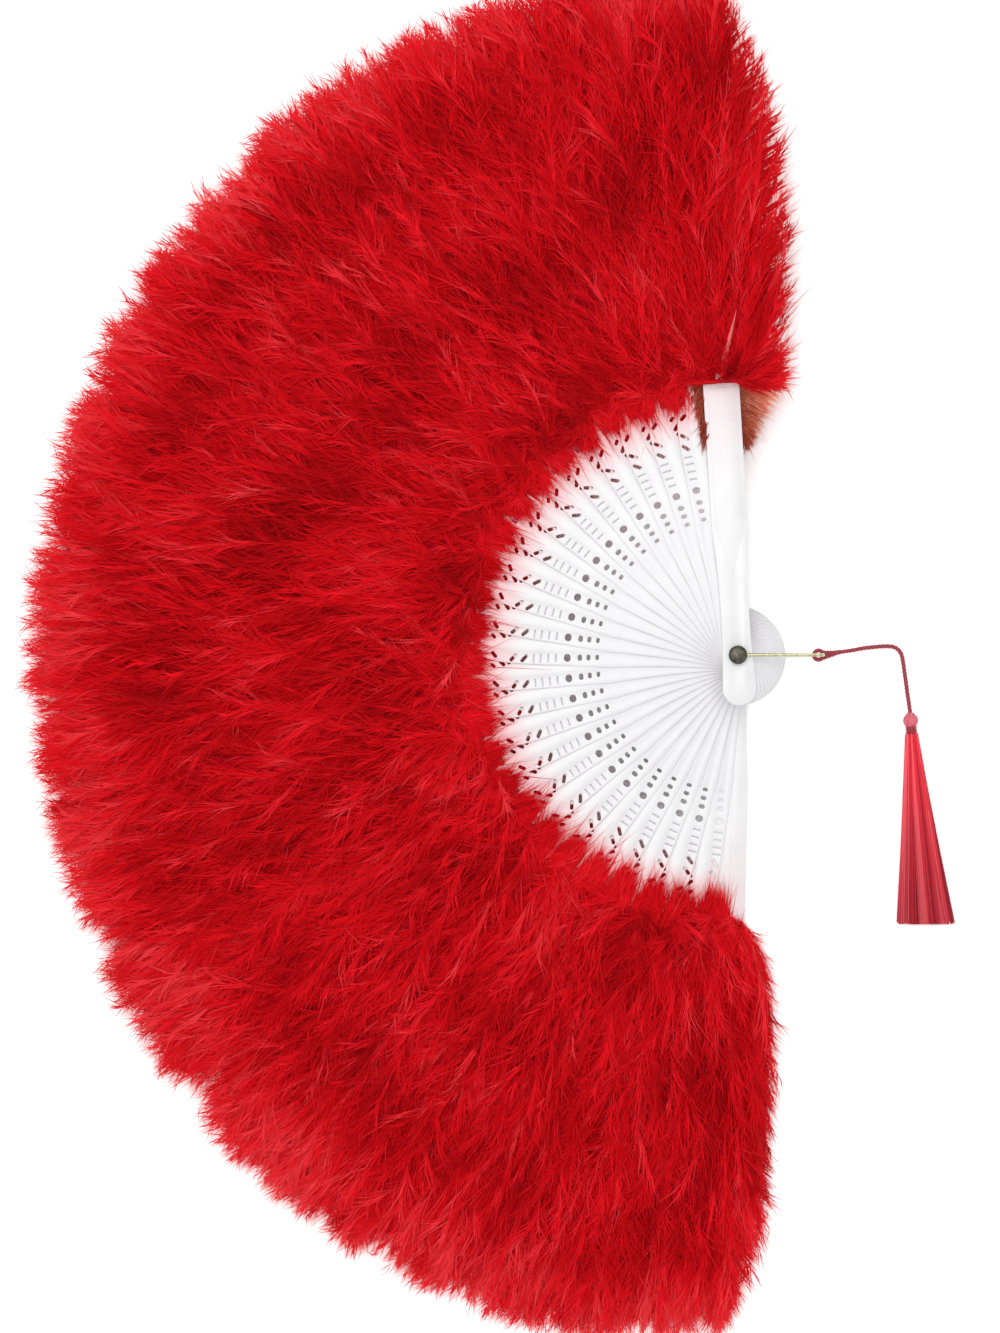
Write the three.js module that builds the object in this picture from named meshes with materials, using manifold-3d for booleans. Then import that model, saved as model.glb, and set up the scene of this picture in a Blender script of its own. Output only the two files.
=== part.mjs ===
// A folding feather fan, lying open on a table: pierced plastic sticks turn on one rivet,
// each carries a plume on its tongue, and a wire bail on the rivet carries a tassel.
// Millimetres, +Z up, the rivet's axis on Z and the table at Z = 0.
import * as THREE from "three";
import { mergeVertices } from "three/addons/utils/BufferGeometryUtils.js";
import Module from "manifold-3d";

const wasm = await Module();
wasm.setup();

// Spread of the open fan, in degrees from +X
const INNER_STICKS = 24;
const FRONT_ANGLE = 93.5;
const SPREAD = 175;

// Clearances
const LAYER_GAP = 0.2; // between neighbours in the stack
const SEAT_GAP = 0.3; // round a pin, tongue or wire

// Sticks: distances are from the rivet, widths are half-widths
const STICK_THICKNESS = 0.7;
const GUARD_THICKNESS = 1.6;
const TAIL_LENGTH = 18.5;
const HEAD_HALF_WIDTH = 6.2;
const WAIST_HALF_WIDTH = 5.2;
const BLADE_HALF_WIDTH = 6.65;
const BLADE_START = 46;
const SHOULDER_LENGTH = 18;
const TONGUE_START = 97;
const TONGUE_LENGTH = 19;
const TONGUE_ROOT_HALF_WIDTH = 2;
const TONGUE_TIP_HALF_WIDTH = 1.1;
const TAIL_STEPS = 3;
const GORGE_STEPS = 4;
const SHOULDER_STEPS = 3;

// Guards: a square end and a raised panel on the outer face
const GUARD_END = 99.5;
const PANEL_HEIGHT = 0.3;
const PANEL_MARGIN = 1.6;
const PANEL_START = 30;

// Piercings on both flanks of an inner stick: length runs across the stick
const DOT_COUNT = 3;
const DOT_START = 51;
const DOT_PITCH = 3.2;
const DOT_LENGTH = 1.9;
const DOT_WIDTH = 1.2;
const WINDOW_AT = 62;
const WINDOW_LENGTH = 2.4;
const WINDOW_WIDTH = 1.9;
const SLANT_COUNT = 3;
const SLANT_TURN = 2; // the slits from this one on lean the other way
const SLANT_START = 76.5;
const SLANT_PITCH = 5;
const SLANT_LENGTH = 4.2;
const SLANT_WIDTH = 1.1;
const SLANT_ANGLE = 42;
const SLANT_OFFSET = 3.9;

// Linking ribbon, laced through a slot in each inner stick
const RIBBON_RADIUS = 95.2;
const RIBBON_WIDTH = 2;
const RIBBON_THICKNESS = 0.2;
const RIBBON_LIFT = 0.45; // of its middle above or below a stick's face
const RIBBON_REACH = 1; // half of the run from above a stick to below it
const RIBBON_SLOT_LENGTH = 1.9;
const RIBBON_TAB = 2.5; // glued length past each guard's middle

// Plumes
const PLUME_TIP = 258;
const PLUME_ROOT_HALF_WIDTH = 8;
const INNER_PLUME_HALF_WIDTH = 32;
const FRONT_PLUME_HALF_WIDTH = 34;
const REAR_PLUME_HALF_WIDTH = 25;
const FRONT_PLUME_THICKNESS = 4;
const PLUME_FULLNESS = 2.5; // exponent of the outline, higher is squarer
const CLUMPS = 4; // scallops on each side
const CLUMP_DEPTH = 3;
const CLUMP_CROWDING = 1.5; // exponent that draws the scallops towards the tip

// Rivet
const PIN_RADIUS = 1.5;
const RIVET_HEAD_RADIUS = 3.6;
const RIVET_HEAD_THICKNESS = 0.9;
const CAP_RADIUS = 3.4;
const CAP_HEIGHT = 1.8;
const CAP_RIM = 0.5;
const DOME_STEPS = 3;
const PIN_SEAT_DEPTH = 0.8;
const RIVET_SIDES = 16;
const HOLE_SIDES = 8;

// Bail
const WIRE_RADIUS = 0.6;
const BAIL_REACH = 31.5;
const BAIL_CORNER = 2.2;
const BAIL_STEPS = 26;
const WIRE_SIDES = 6;
const EYE_SIDES = 10;

// Cord and its knot on the bail
const CORD_RADIUS = 0.85;
const CORD_SIDES = 8;
const CORD_STEPS = 18;
const KNOT_HEIGHT = 5;
const KNOT_RADIUS = 1.7;
const KNOT_END_RADIUS = 1.1;
const KNOT_END = 37.4;
const LOOP_STEPS = 10;
const LOOP_SIDES = 6;
// Route of the cord's middle, from the knot to the tassel head
const CORD_ROUTE = [
  [37.7, 0.9, 5.0],
  [39.6, 1.1, 4.9],
  [42.6, 1.5, 3.9],
  [45.6, 2.0, 2.5],
  [48.8, 2.6, 1.4],
  [52.4, 3.0, 0.95],
  [56.2, 3.3, 0.9],
  [59.2, 3.2, 0.9],
  [61.4, 2.2, 0.9],
  [62.8, 0.2, 0.9],
  [63.4, -2.6, 0.9],
  [63.9, -6.2, 0.9],
  [64.5, -10.4, 0.9],
  [65.0, -14.4, 1.1],
  [65.5, -18.2, 1.9],
  [65.8, -21.4, 2.7],
];

// Tassel: lengths run along its own axis, which leans from -Y
const TASSEL_LEAN = 4.2;
const HEAD_RADIUS = 2.8;
const HEAD_LENGTH = 5.4;
const NECK_RADIUS = 2.1;
const NECK_LENGTH = 2.8;
const HEAD_SIDES = 10;
const HEAD_STEPS = 6;
const SKIRT_LENGTH = 71;
const SKIRT_TOP_HALF_WIDTH = 2.3;
const SKIRT_END_HALF_WIDTH = 10.6;
const SKIRT_TOP_HALF_HEIGHT = 2.3;
const SKIRT_END_HALF_HEIGHT = 2.6;
const SKIRT_SIDES = 12;
const SKIRT_RINGS = 4;

const WELD = 1e-4; // vertices nearer than this are one
const toRadians = THREE.MathUtils.degToRad;
const STICK_PITCH = SPREAD / (INNER_STICKS + 1);
const LAST = INNER_STICKS + 1; // place of the rear guard, the front guard is place 0

// Heights of the stack, from the table up
const lowerEyeZ = RIVET_HEAD_THICKNESS + LAYER_GAP;
const rearGuardZ = lowerEyeZ + 2 * WIRE_RADIUS + LAYER_GAP;
const firstStickZ = rearGuardZ + GUARD_THICKNESS + LAYER_GAP;
const frontGuardZ = layerZ(0);
const upperEyeZ = frontGuardZ + GUARD_THICKNESS + LAYER_GAP;
const capZ = upperEyeZ + 2 * WIRE_RADIUS + LAYER_GAP;

// Underside of the stick at a place in the fan, the rear guard apart
function layerZ(place) {
  return firstStickZ + (INNER_STICKS - place) * (STICK_THICKNESS + LAYER_GAP);
}

// Angle of the stick at a place in the open fan, in radians
function stickAngle(place) {
  return toRadians(FRONT_ANGLE + STICK_PITCH * place);
}

const white = () =>
  new THREE.MeshStandardMaterial({ color: 0xf4f2ee, roughness: 0.35, metalness: 0 });
const red = () =>
  new THREE.MeshStandardMaterial({ color: 0xc40d1c, roughness: 0.9, metalness: 0 });
const crimson = () =>
  new THREE.MeshStandardMaterial({ color: 0xb51f33, roughness: 0.6, metalness: 0 });
const brass = () =>
  new THREE.MeshStandardMaterial({ color: 0xb99a4a, roughness: 0.3, metalness: 1 });

const fan = new THREE.Group();

function addMesh(name, geometry, material, parent = fan) {
  const mesh = new THREE.Mesh(geometry, material);
  mesh.name = name;
  parent.add(mesh);
  return mesh;
}

// Points of a regular polygon
function polygon(radius, sides) {
  return Array.from({ length: sides }, (_, i) => {
    const turn = (2 * Math.PI * i) / sides;
    return new THREE.Vector2(radius * Math.cos(turn), radius * Math.sin(turn));
  });
}

// A closed outline from one edge and its mirror image across the X axis
function mirrored(edge) {
  const back = edge.filter((p) => p.y > 0).reverse();
  return [...edge, ...back.map((p) => new THREE.Vector2(p.x, -p.y))];
}

function plate(outline, thickness) {
  const shape = new THREE.Shape(outline);
  return new THREE.ExtrudeGeometry(shape, { depth: thickness, bevelEnabled: false });
}

function toSolid(geometry) {
  const bare = geometry.clone();
  bare.deleteAttribute("normal");
  bare.deleteAttribute("uv");
  const merged = mergeVertices(bare, WELD);
  return new wasm.Manifold(
    new wasm.Mesh({
      numProp: 3,
      vertProperties: merged.attributes.position.array,
      triVerts: new Uint32Array(merged.index.array),
    }),
  );
}

function toGeometry(solid) {
  const mesh = solid.getMesh();
  const geometry = new THREE.BufferGeometry();
  geometry.setAttribute("position", new THREE.BufferAttribute(mesh.vertProperties, 3));
  geometry.setIndex(new THREE.BufferAttribute(mesh.triVerts, 1));
  geometry.computeVertexNormals();
  return geometry;
}

// Several overlapping geometries joined into one
function join(...geometries) {
  return toGeometry(geometries.map(toSolid).reduce((whole, next) => whole.add(next)));
}

// A flat plate with holes of the given outlines cut right through it
function pierced(outline, holes, thickness) {
  const cutters = holes.map((hole) =>
    toSolid(plate(hole, 3 * thickness).translate(0, 0, -thickness)),
  );
  const body = toSolid(plate(outline, thickness));
  return toGeometry(cutters.reduce((rest, cutter) => rest.subtract(cutter), body));
}

// A closed skin through rings of equally many points, with a flat cap on both ends
function loft(rings) {
  const sides = rings[0].length;
  const index = [];
  for (let ring = 0; ring + 1 < rings.length; ring++) {
    for (let i = 0; i < sides; i++) {
      const a = ring * sides + i;
      const b = ring * sides + ((i + 1) % sides);
      index.push(a, b, b + sides, a, b + sides, a + sides);
    }
  }
  const last = (rings.length - 1) * sides;
  for (let i = 1; i + 1 < sides; i++) {
    index.push(0, i + 1, i, last, last + i, last + i + 1);
  }
  const geometry = new THREE.BufferGeometry().setFromPoints(rings.flat());
  geometry.setIndex(index);
  geometry.computeVertexNormals();
  return geometry;
}

// A revolved profile of [radius, height] pairs, with its axis on Z
function turned(profile, sides) {
  const points = profile.map(([radius, height]) => new THREE.Vector2(radius, height));
  return new THREE.LatheGeometry(points, sides).rotateX(Math.PI / 2);
}

function tube(path, radius, sides, steps) {
  const section = new THREE.Shape(polygon(radius, sides));
  return new THREE.ExtrudeGeometry(section, { steps, extrudePath: path });
}

// One edge of a stick from the middle of its round tail to the start of the blade
function gorgeEdge() {
  const tailCentre = HEAD_HALF_WIDTH - TAIL_LENGTH;
  const edge = [];
  for (let i = 0; i < TAIL_STEPS; i++) {
    const turn = (i / TAIL_STEPS) * (Math.PI / 2);
    const x = tailCentre - HEAD_HALF_WIDTH * Math.cos(turn);
    edge.push(new THREE.Vector2(x, HEAD_HALF_WIDTH * Math.sin(turn)));
  }
  const pull = 2 * WAIST_HALF_WIDTH - (HEAD_HALF_WIDTH + BLADE_HALF_WIDTH) / 2;
  const gorge = new THREE.QuadraticBezierCurve(
    new THREE.Vector2(tailCentre, HEAD_HALF_WIDTH),
    new THREE.Vector2((tailCentre + BLADE_START) / 2, pull),
    new THREE.Vector2(BLADE_START, BLADE_HALF_WIDTH),
  );
  return [...edge, ...gorge.getPoints(GORGE_STEPS)];
}

// Half-width of the tongue at a distance from the rivet
function tongueHalfWidth(distance) {
  const along = (distance - TONGUE_START) / TONGUE_LENGTH;
  return THREE.MathUtils.lerp(TONGUE_ROOT_HALF_WIDTH, TONGUE_TIP_HALF_WIDTH, along);
}

const tongueEnd = new THREE.Vector2(TONGUE_START + TONGUE_LENGTH, TONGUE_TIP_HALF_WIDTH);

function innerStickOutline() {
  const edge = gorgeEdge();
  const fall = BLADE_HALF_WIDTH - TONGUE_ROOT_HALF_WIDTH;
  for (let i = 0; i <= SHOULDER_STEPS; i++) {
    const turn = (i / SHOULDER_STEPS) * (Math.PI / 2);
    const x = TONGUE_START - SHOULDER_LENGTH * (1 - Math.sin(turn));
    edge.push(new THREE.Vector2(x, TONGUE_ROOT_HALF_WIDTH + fall * Math.cos(turn)));
  }
  return mirrored([...edge, tongueEnd]);
}

function guardOutline() {
  return mirrored([
    ...gorgeEdge(),
    new THREE.Vector2(GUARD_END, BLADE_HALF_WIDTH),
    new THREE.Vector2(GUARD_END, tongueHalfWidth(GUARD_END)),
    tongueEnd,
  ]);
}

// A rectangular hole: length runs across the stick and slant turns it, in radians
function slit(x, y, length, width, slant) {
  const centre = new THREE.Vector2(x, y);
  const corners = [
    [-width / 2, -length / 2],
    [-width / 2, length / 2],
    [width / 2, length / 2],
    [width / 2, -length / 2],
  ];
  return corners.map(([cx, cy]) =>
    new THREE.Vector2(cx, cy).rotateAround(new THREE.Vector2(), slant).add(centre),
  );
}

// Offset at which the holes of neighbouring sticks lie over each other in the open fan
function columnOffset(distance) {
  return distance * Math.tan(toRadians(STICK_PITCH) / 2);
}

function flankPiercings(side) {
  const slits = [];
  for (let i = 0; i < DOT_COUNT; i++) {
    const x = DOT_START + DOT_PITCH * i;
    slits.push(slit(x, side * columnOffset(x), DOT_LENGTH, DOT_WIDTH, 0));
  }
  slits.push(slit(WINDOW_AT, side * columnOffset(WINDOW_AT), WINDOW_LENGTH, WINDOW_WIDTH, 0));
  for (let i = 0; i < SLANT_COUNT; i++) {
    const middle = SLANT_START + SLANT_PITCH * i;
    const slant = toRadians(i < SLANT_TURN ? -SLANT_ANGLE : SLANT_ANGLE);
    const shift = Math.tan(slant) * (columnOffset(middle) - SLANT_OFFSET);
    const x = middle + side * shift; // in line with the neighbour's slit
    slits.push(slit(x, side * SLANT_OFFSET, SLANT_LENGTH, SLANT_WIDTH, slant));
  }
  return slits;
}

const rivetHole = polygon(PIN_RADIUS + SEAT_GAP, HOLE_SIDES);

function innerStickGeometry() {
  const slotWidth = RIBBON_WIDTH + 2 * SEAT_GAP;
  const slot = slit(RIBBON_RADIUS, 0, RIBBON_SLOT_LENGTH, slotWidth, 0);
  const holes = [rivetHole, slot, ...flankPiercings(1), ...flankPiercings(-1)];
  return pierced(innerStickOutline(), holes, STICK_THICKNESS);
}

// The raised panel stands on the outer face: the top of the front guard, the underside of the rear
function guardGeometry(panelUp) {
  const body = pierced(guardOutline(), [rivetHole], GUARD_THICKNESS - PANEL_HEIGHT);
  const panel = plate(
    mirrored([
      new THREE.Vector2(PANEL_START, 0),
      new THREE.Vector2(BLADE_START, BLADE_HALF_WIDTH - PANEL_MARGIN),
      new THREE.Vector2(GUARD_END - PANEL_MARGIN, BLADE_HALF_WIDTH - PANEL_MARGIN),
    ]),
    2 * PANEL_HEIGHT,
  );
  if (panelUp) {
    return join(body, panel.translate(0, 0, GUARD_THICKNESS - 2 * PANEL_HEIGHT));
  }
  return join(body.translate(0, 0, PANEL_HEIGHT), panel);
}

// A flat plume with scalloped sides, notched to seat the tongue of its stick
function plumeGeometry(start, halfWidth, thickness) {
  const length = PLUME_TIP - start;
  const edge = [
    new THREE.Vector2(tongueEnd.x + SEAT_GAP, tongueEnd.y + SEAT_GAP),
    new THREE.Vector2(start, tongueHalfWidth(start) + SEAT_GAP),
    new THREE.Vector2(start, PLUME_ROOT_HALF_WIDTH),
  ];
  const points = 2 * CLUMPS;
  for (let i = 1; i <= points; i++) {
    const along = 1 - (1 - i / (points + 1)) ** CLUMP_CROWDING;
    const full = halfWidth * Math.sqrt(1 - Math.abs(2 * along - 1) ** PLUME_FULLNESS);
    const inset = i % 2 === 0 ? CLUMP_DEPTH : 0;
    edge.push(new THREE.Vector2(start + along * length, full - inset));
  }
  edge.push(new THREE.Vector2(PLUME_TIP, 0));
  return plate(mirrored(edge), thickness);
}

// Turns a mesh to its place in the open fan and lifts it to its layer
function setInFan(mesh, place, z) {
  mesh.rotation.z = stickAngle(place);
  mesh.position.z = z;
}

function twoDigits(number) {
  return String(number).padStart(2, "0");
}

function addSticks() {
  setInFan(addMesh("front_guard", guardGeometry(true), white()), 0, frontGuardZ);
  setInFan(addMesh("rear_guard", guardGeometry(false), white()), LAST, rearGuardZ);
  const inner = innerStickGeometry();
  for (let i = 1; i <= INNER_STICKS; i++) {
    setInFan(addMesh(`stick_${twoDigits(i)}`, inner, white()), i, layerZ(i));
  }
}

// The guards' plumes are fuller than the rest: the front one upwards, the rear one to the table
function addPlumes() {
  const guardStart = GUARD_END + SEAT_GAP;
  const front = plumeGeometry(guardStart, FRONT_PLUME_HALF_WIDTH, FRONT_PLUME_THICKNESS);
  setInFan(addMesh("front_plume", front, red()), 0, frontGuardZ);
  const rearThickness = rearGuardZ + GUARD_THICKNESS;
  const rear = plumeGeometry(guardStart, REAR_PLUME_HALF_WIDTH, rearThickness);
  setInFan(addMesh("rear_plume", rear, red()), LAST, 0);
  const innerStart = TONGUE_START + SEAT_GAP;
  const plume = plumeGeometry(innerStart, INNER_PLUME_HALF_WIDTH, STICK_THICKNESS);
  for (let i = 1; i <= INNER_STICKS; i++) {
    setInFan(addMesh(`plume_${twoDigits(i)}`, plume, red()), i, layerZ(i));
  }
}

// A cross-section of the ribbon at an angle, moved along the arc by a length
function ribbonRing(angle, along, z) {
  const turn = angle + along / RIBBON_RADIUS;
  const inner = RIBBON_RADIUS - RIBBON_WIDTH / 2;
  const outer = RIBBON_RADIUS + RIBBON_WIDTH / 2;
  const low = z - RIBBON_THICKNESS / 2;
  const high = z + RIBBON_THICKNESS / 2;
  const corners = [
    [inner, low],
    [inner, high],
    [outer, high],
    [outer, low],
  ];
  return corners.map(
    ([r, h]) => new THREE.Vector3(r * Math.cos(turn), r * Math.sin(turn), h),
  );
}

// The ribbon runs from under the front guard, down through each stick, to the top of the rear guard
function addRibbon() {
  const glued = RIBBON_THICKNESS / 2 + LAYER_GAP / 2;
  const startZ = frontGuardZ - glued;
  const endZ = rearGuardZ + GUARD_THICKNESS + glued;
  const edge = BLADE_HALF_WIDTH + LAYER_GAP;
  const step = RIBBON_THICKNESS; // over the edge of the next stick, past a guard's edge
  const rings = [
    ribbonRing(stickAngle(0), -RIBBON_TAB, startZ),
    ribbonRing(stickAngle(0), edge, startZ),
    ribbonRing(stickAngle(0), edge + step, startZ + step),
  ];
  for (let i = 1; i <= INNER_STICKS; i++) {
    const above = layerZ(i) + STICK_THICKNESS + RIBBON_LIFT;
    rings.push(ribbonRing(stickAngle(i), -RIBBON_REACH, above));
    rings.push(ribbonRing(stickAngle(i), RIBBON_REACH, layerZ(i) - RIBBON_LIFT));
  }
  rings.push(ribbonRing(stickAngle(LAST), -edge - step, endZ - step));
  rings.push(ribbonRing(stickAngle(LAST), -edge, endZ));
  rings.push(ribbonRing(stickAngle(LAST), RIBBON_TAB, endZ));
  addMesh("linking_ribbon", loft(rings), crimson());
}

function addRivet() {
  const pinTop = capZ + PIN_SEAT_DEPTH;
  const pin = turned(
    [
      [0, 0],
      [RIVET_HEAD_RADIUS, 0],
      [RIVET_HEAD_RADIUS, RIVET_HEAD_THICKNESS],
      [PIN_RADIUS, RIVET_HEAD_THICKNESS],
      [PIN_RADIUS, pinTop],
      [0, pinTop],
    ],
    RIVET_SIDES,
  );
  addMesh("rivet_pin", pin, brass());
  const bore = PIN_RADIUS + SEAT_GAP;
  const dome = CAP_HEIGHT - CAP_RIM;
  const profile = [
    [0, pinTop + SEAT_GAP],
    [bore, pinTop + SEAT_GAP],
    [bore, capZ],
    [CAP_RADIUS, capZ],
  ];
  for (let i = 0; i < DOME_STEPS; i++) {
    const turn = (i / DOME_STEPS) * (Math.PI / 2);
    profile.push([CAP_RADIUS * Math.cos(turn), capZ + CAP_RIM + dome * Math.sin(turn)]);
  }
  profile.push([0, capZ + CAP_HEIGHT]);
  addMesh("rivet_cap", turned(profile, RIVET_SIDES), brass());
}

// A flat ring of wire round the rivet, with its underside at z
function eyeGeometry(z) {
  const inner = PIN_RADIUS + SEAT_GAP;
  const outer = polygon(inner + 2 * WIRE_RADIUS, EYE_SIDES);
  return pierced(outer, [polygon(inner, EYE_SIDES)], 2 * WIRE_RADIUS).translate(0, 0, z);
}

function addBail() {
  const low = lowerEyeZ + WIRE_RADIUS;
  const high = upperEyeZ + WIRE_RADIUS;
  const start = PIN_RADIUS + SEAT_GAP + WIRE_RADIUS;
  const bend = BAIL_REACH - BAIL_CORNER;
  const at = (x, z) => new THREE.Vector3(x, 0, z);
  const path = new THREE.CurvePath();
  path.add(new THREE.LineCurve3(at(start, low), at(bend, low)));
  path.add(
    new THREE.QuadraticBezierCurve3(
      at(bend, low),
      at(BAIL_REACH, low),
      at(BAIL_REACH, low + BAIL_CORNER),
    ),
  );
  path.add(
    new THREE.LineCurve3(at(BAIL_REACH, low + BAIL_CORNER), at(BAIL_REACH, high - BAIL_CORNER)),
  );
  path.add(
    new THREE.QuadraticBezierCurve3(
      at(BAIL_REACH, high - BAIL_CORNER),
      at(BAIL_REACH, high),
      at(bend, high),
    ),
  );
  path.add(new THREE.LineCurve3(at(bend, high), at(start, high)));
  const wire = tube(path, WIRE_RADIUS, WIRE_SIDES, BAIL_STEPS);
  addMesh("bail", join(wire, eyeGeometry(lowerEyeZ), eyeGeometry(upperEyeZ)), brass());
}

// The cord's loop round the bow of the bail and the barrel of the knot that closes it
function addKnot() {
  const loopRadius = WIRE_RADIUS + SEAT_GAP + CORD_RADIUS;
  const loop = new THREE.TorusGeometry(loopRadius, CORD_RADIUS, LOOP_SIDES, LOOP_STEPS);
  const length = KNOT_END - BAIL_REACH - loopRadius;
  const barrel = turned(
    [
      [0, 0],
      [KNOT_END_RADIUS, 0],
      [KNOT_RADIUS, CORD_RADIUS],
      [KNOT_RADIUS, length - CORD_RADIUS],
      [KNOT_END_RADIUS, length],
      [0, length],
    ],
    CORD_SIDES,
  );
  barrel.rotateY(Math.PI / 2).translate(loopRadius, 0, 0);
  const knot = addMesh("cord_knot", join(loop, barrel), crimson());
  knot.position.set(BAIL_REACH, 0, KNOT_HEIGHT);
}

function addCord() {
  const route = CORD_ROUTE.map((point) => new THREE.Vector3(...point));
  const curve = new THREE.CatmullRomCurve3(route);
  addMesh("tassel_cord", tube(curve, CORD_RADIUS, CORD_SIDES, CORD_STEPS), crimson());
}

// Head: a round button knot and the neck bound below it, on the axis of the tassel
function headGeometry() {
  const low = -HEAD_LENGTH - NECK_LENGTH;
  const profile = [new THREE.Vector2(0, low), new THREE.Vector2(NECK_RADIUS, low)];
  const first = Math.asin(NECK_RADIUS / HEAD_RADIUS);
  for (let i = 0; i < HEAD_STEPS; i++) {
    const turn = THREE.MathUtils.lerp(first, Math.PI, i / HEAD_STEPS);
    const height = (-HEAD_LENGTH * (1 + Math.cos(turn))) / 2;
    profile.push(new THREE.Vector2(HEAD_RADIUS * Math.sin(turn), height));
  }
  profile.push(new THREE.Vector2(0, 0));
  return new THREE.LatheGeometry(profile, HEAD_SIDES);
}

// Skirt: a bundle of threads that spreads and flattens on the table
function skirtGeometry() {
  const top = HEAD_LENGTH + NECK_LENGTH + SEAT_GAP;
  const rings = [];
  for (let ring = 0; ring < SKIRT_RINGS; ring++) {
    const along = ring / (SKIRT_RINGS - 1);
    const width = THREE.MathUtils.lerp(SKIRT_TOP_HALF_WIDTH, SKIRT_END_HALF_WIDTH, along);
    const height = THREE.MathUtils.lerp(SKIRT_TOP_HALF_HEIGHT, SKIRT_END_HALF_HEIGHT, along);
    const section = polygon(1, SKIRT_SIDES);
    const y = -top - SKIRT_LENGTH * along;
    rings.push(
      section.map((p) => new THREE.Vector3(p.x * width, y, p.y * height + height - HEAD_RADIUS)),
    );
  }
  return loft(rings);
}

function addTassel() {
  const tassel = new THREE.Group();
  const [cordX, cordY] = CORD_ROUTE.at(-1);
  tassel.position.set(cordX, cordY - SEAT_GAP, HEAD_RADIUS);
  tassel.rotation.z = toRadians(TASSEL_LEAN);
  fan.add(tassel);
  addMesh("tassel_head", headGeometry(), crimson(), tassel);
  addMesh("tassel_skirt", skirtGeometry(), crimson(), tassel);
}

addSticks();
addPlumes();
addRibbon();
addRivet();
addBail();
addKnot();
addCord();
addTassel();

export default fan;
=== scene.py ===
"""A folding feather fan lying open on a pale table, seen from straight above."""
from math import cos, pi, radians, sin, tan

import bmesh
import bpy
import numpy as np
from mathutils import Matrix, Vector


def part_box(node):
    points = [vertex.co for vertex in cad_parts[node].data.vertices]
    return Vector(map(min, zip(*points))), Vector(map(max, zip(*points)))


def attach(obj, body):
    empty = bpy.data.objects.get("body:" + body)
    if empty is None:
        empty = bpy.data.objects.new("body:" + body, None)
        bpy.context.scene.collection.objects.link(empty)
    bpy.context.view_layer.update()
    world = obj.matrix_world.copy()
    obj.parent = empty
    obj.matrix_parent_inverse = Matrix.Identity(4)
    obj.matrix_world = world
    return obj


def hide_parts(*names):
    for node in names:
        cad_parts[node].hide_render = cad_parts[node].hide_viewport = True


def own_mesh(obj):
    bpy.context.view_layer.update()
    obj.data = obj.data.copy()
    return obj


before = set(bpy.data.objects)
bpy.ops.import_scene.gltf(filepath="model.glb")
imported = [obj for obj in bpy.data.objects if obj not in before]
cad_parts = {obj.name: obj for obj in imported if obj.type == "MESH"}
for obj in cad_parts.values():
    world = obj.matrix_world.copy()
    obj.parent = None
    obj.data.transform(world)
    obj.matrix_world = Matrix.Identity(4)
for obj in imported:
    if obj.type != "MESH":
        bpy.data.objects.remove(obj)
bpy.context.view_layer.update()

MM = 0.001  # lengths below are in millimetres, angles in degrees
BAKE_MAP = "OFBake"

# Camera: one photograph pixel is PIXEL wide at height VIEW_PLANE
PHOTO_WIDTH = 1000
PHOTO_HEIGHT = 1333
PIXEL = 0.37
RIVET_PIXEL = (735, 655)
VIEW_PLANE = 12
LENS = 100
SENSOR = 36

# Open fan
INNER_STICKS = 24
FRONT_ANGLE = 93.5
SPREAD = 175
PITCH = SPREAD / (INNER_STICKS + 1)
REAR_PLACE = INNER_STICKS + 1

# Sticks: distances are from the rivet, widths are half-widths
STICK_THICKNESS = 0.7
WEB_LOW = 0.04
WEB_HIGH = 0.44
BOSS_RADIUS = 5
GUARD_THICKNESS = 1.6
PANEL_HEIGHT = 0.3
PANEL_MARGIN = 1.6
PANEL_START = 30
TAIL_LENGTH = 18.5
HEAD_HALF_WIDTH = 6.2
WAIST_HALF_WIDTH = 5.2
BLADE_HALF_WIDTH = 6.65
BLADE_START = 46
SHOULDER_LENGTH = 18
TONGUE_START = 97
TONGUE_END = 116
TONGUE_ROOT_HALF_WIDTH = 2
TONGUE_TIP_HALF_WIDTH = 1.1
GUARD_END = 99.5
RIVET_HOLE = 1.8
EDGE_BEVEL = 0.08
GUARD_BEVEL = 0.2
PANEL_BEVEL = 0.15
WELD = 1e-4
SHARP_ANGLE = 35  # between faces, from which an edge is shaded sharp
HOLE_SIDES = 24
# Rib stations: distance and half-width
RIB = [(36, 0.5), (44, 1.5), (56, 1.85), (74, 2.0), (86, 1.8), (95, 1.3), (101, 0.8), (106, 0.3)]
RIB_CHAMFER = 0.16
RIB_LIFT = 0.02  # of its underside above the web's
CROWN_SHARE = 0.6

# Piercings in the columns between the ribs: distance, length across, width along
DOTS = [(51, 1.9, 1.25), (54.2, 2.1, 1.4), (57.4, 2.3, 1.6), (62, 2.8, 2.4)]
FINE_SLITS = [(66.2, 2.9, 0.55), (69, 3.0, 0.55), (71.8, 3.1, 0.55), (74.4, 3.1, 0.55)]
# Slanted slits: distance, offset from the middle, length, width, slant
SLANTS = [
    (78, 4.6, 3.6, 1.3, -42),
    (82.4, 4.5, 3.5, 1.3, -42),
    (87.6, 3.75, 2.9, 1.3, 42),
    (91.8, 3.1, 2.2, 1.2, 42),
]
CORNER_SHARE = 0.3  # rounding of a piercing's corners, as a share of its width

# Linking ribbon
RIBBON_RADIUS = 95.2
RIBBON_WIDTH = 2
RIBBON_THICKNESS = 0.2
RIBBON_LIFT = 0.45
RIBBON_REACH = 1
RIBBON_TAB = 2.5  # glued to a guard, on each side of its middle
REAR_TAB_END = 1

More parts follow.
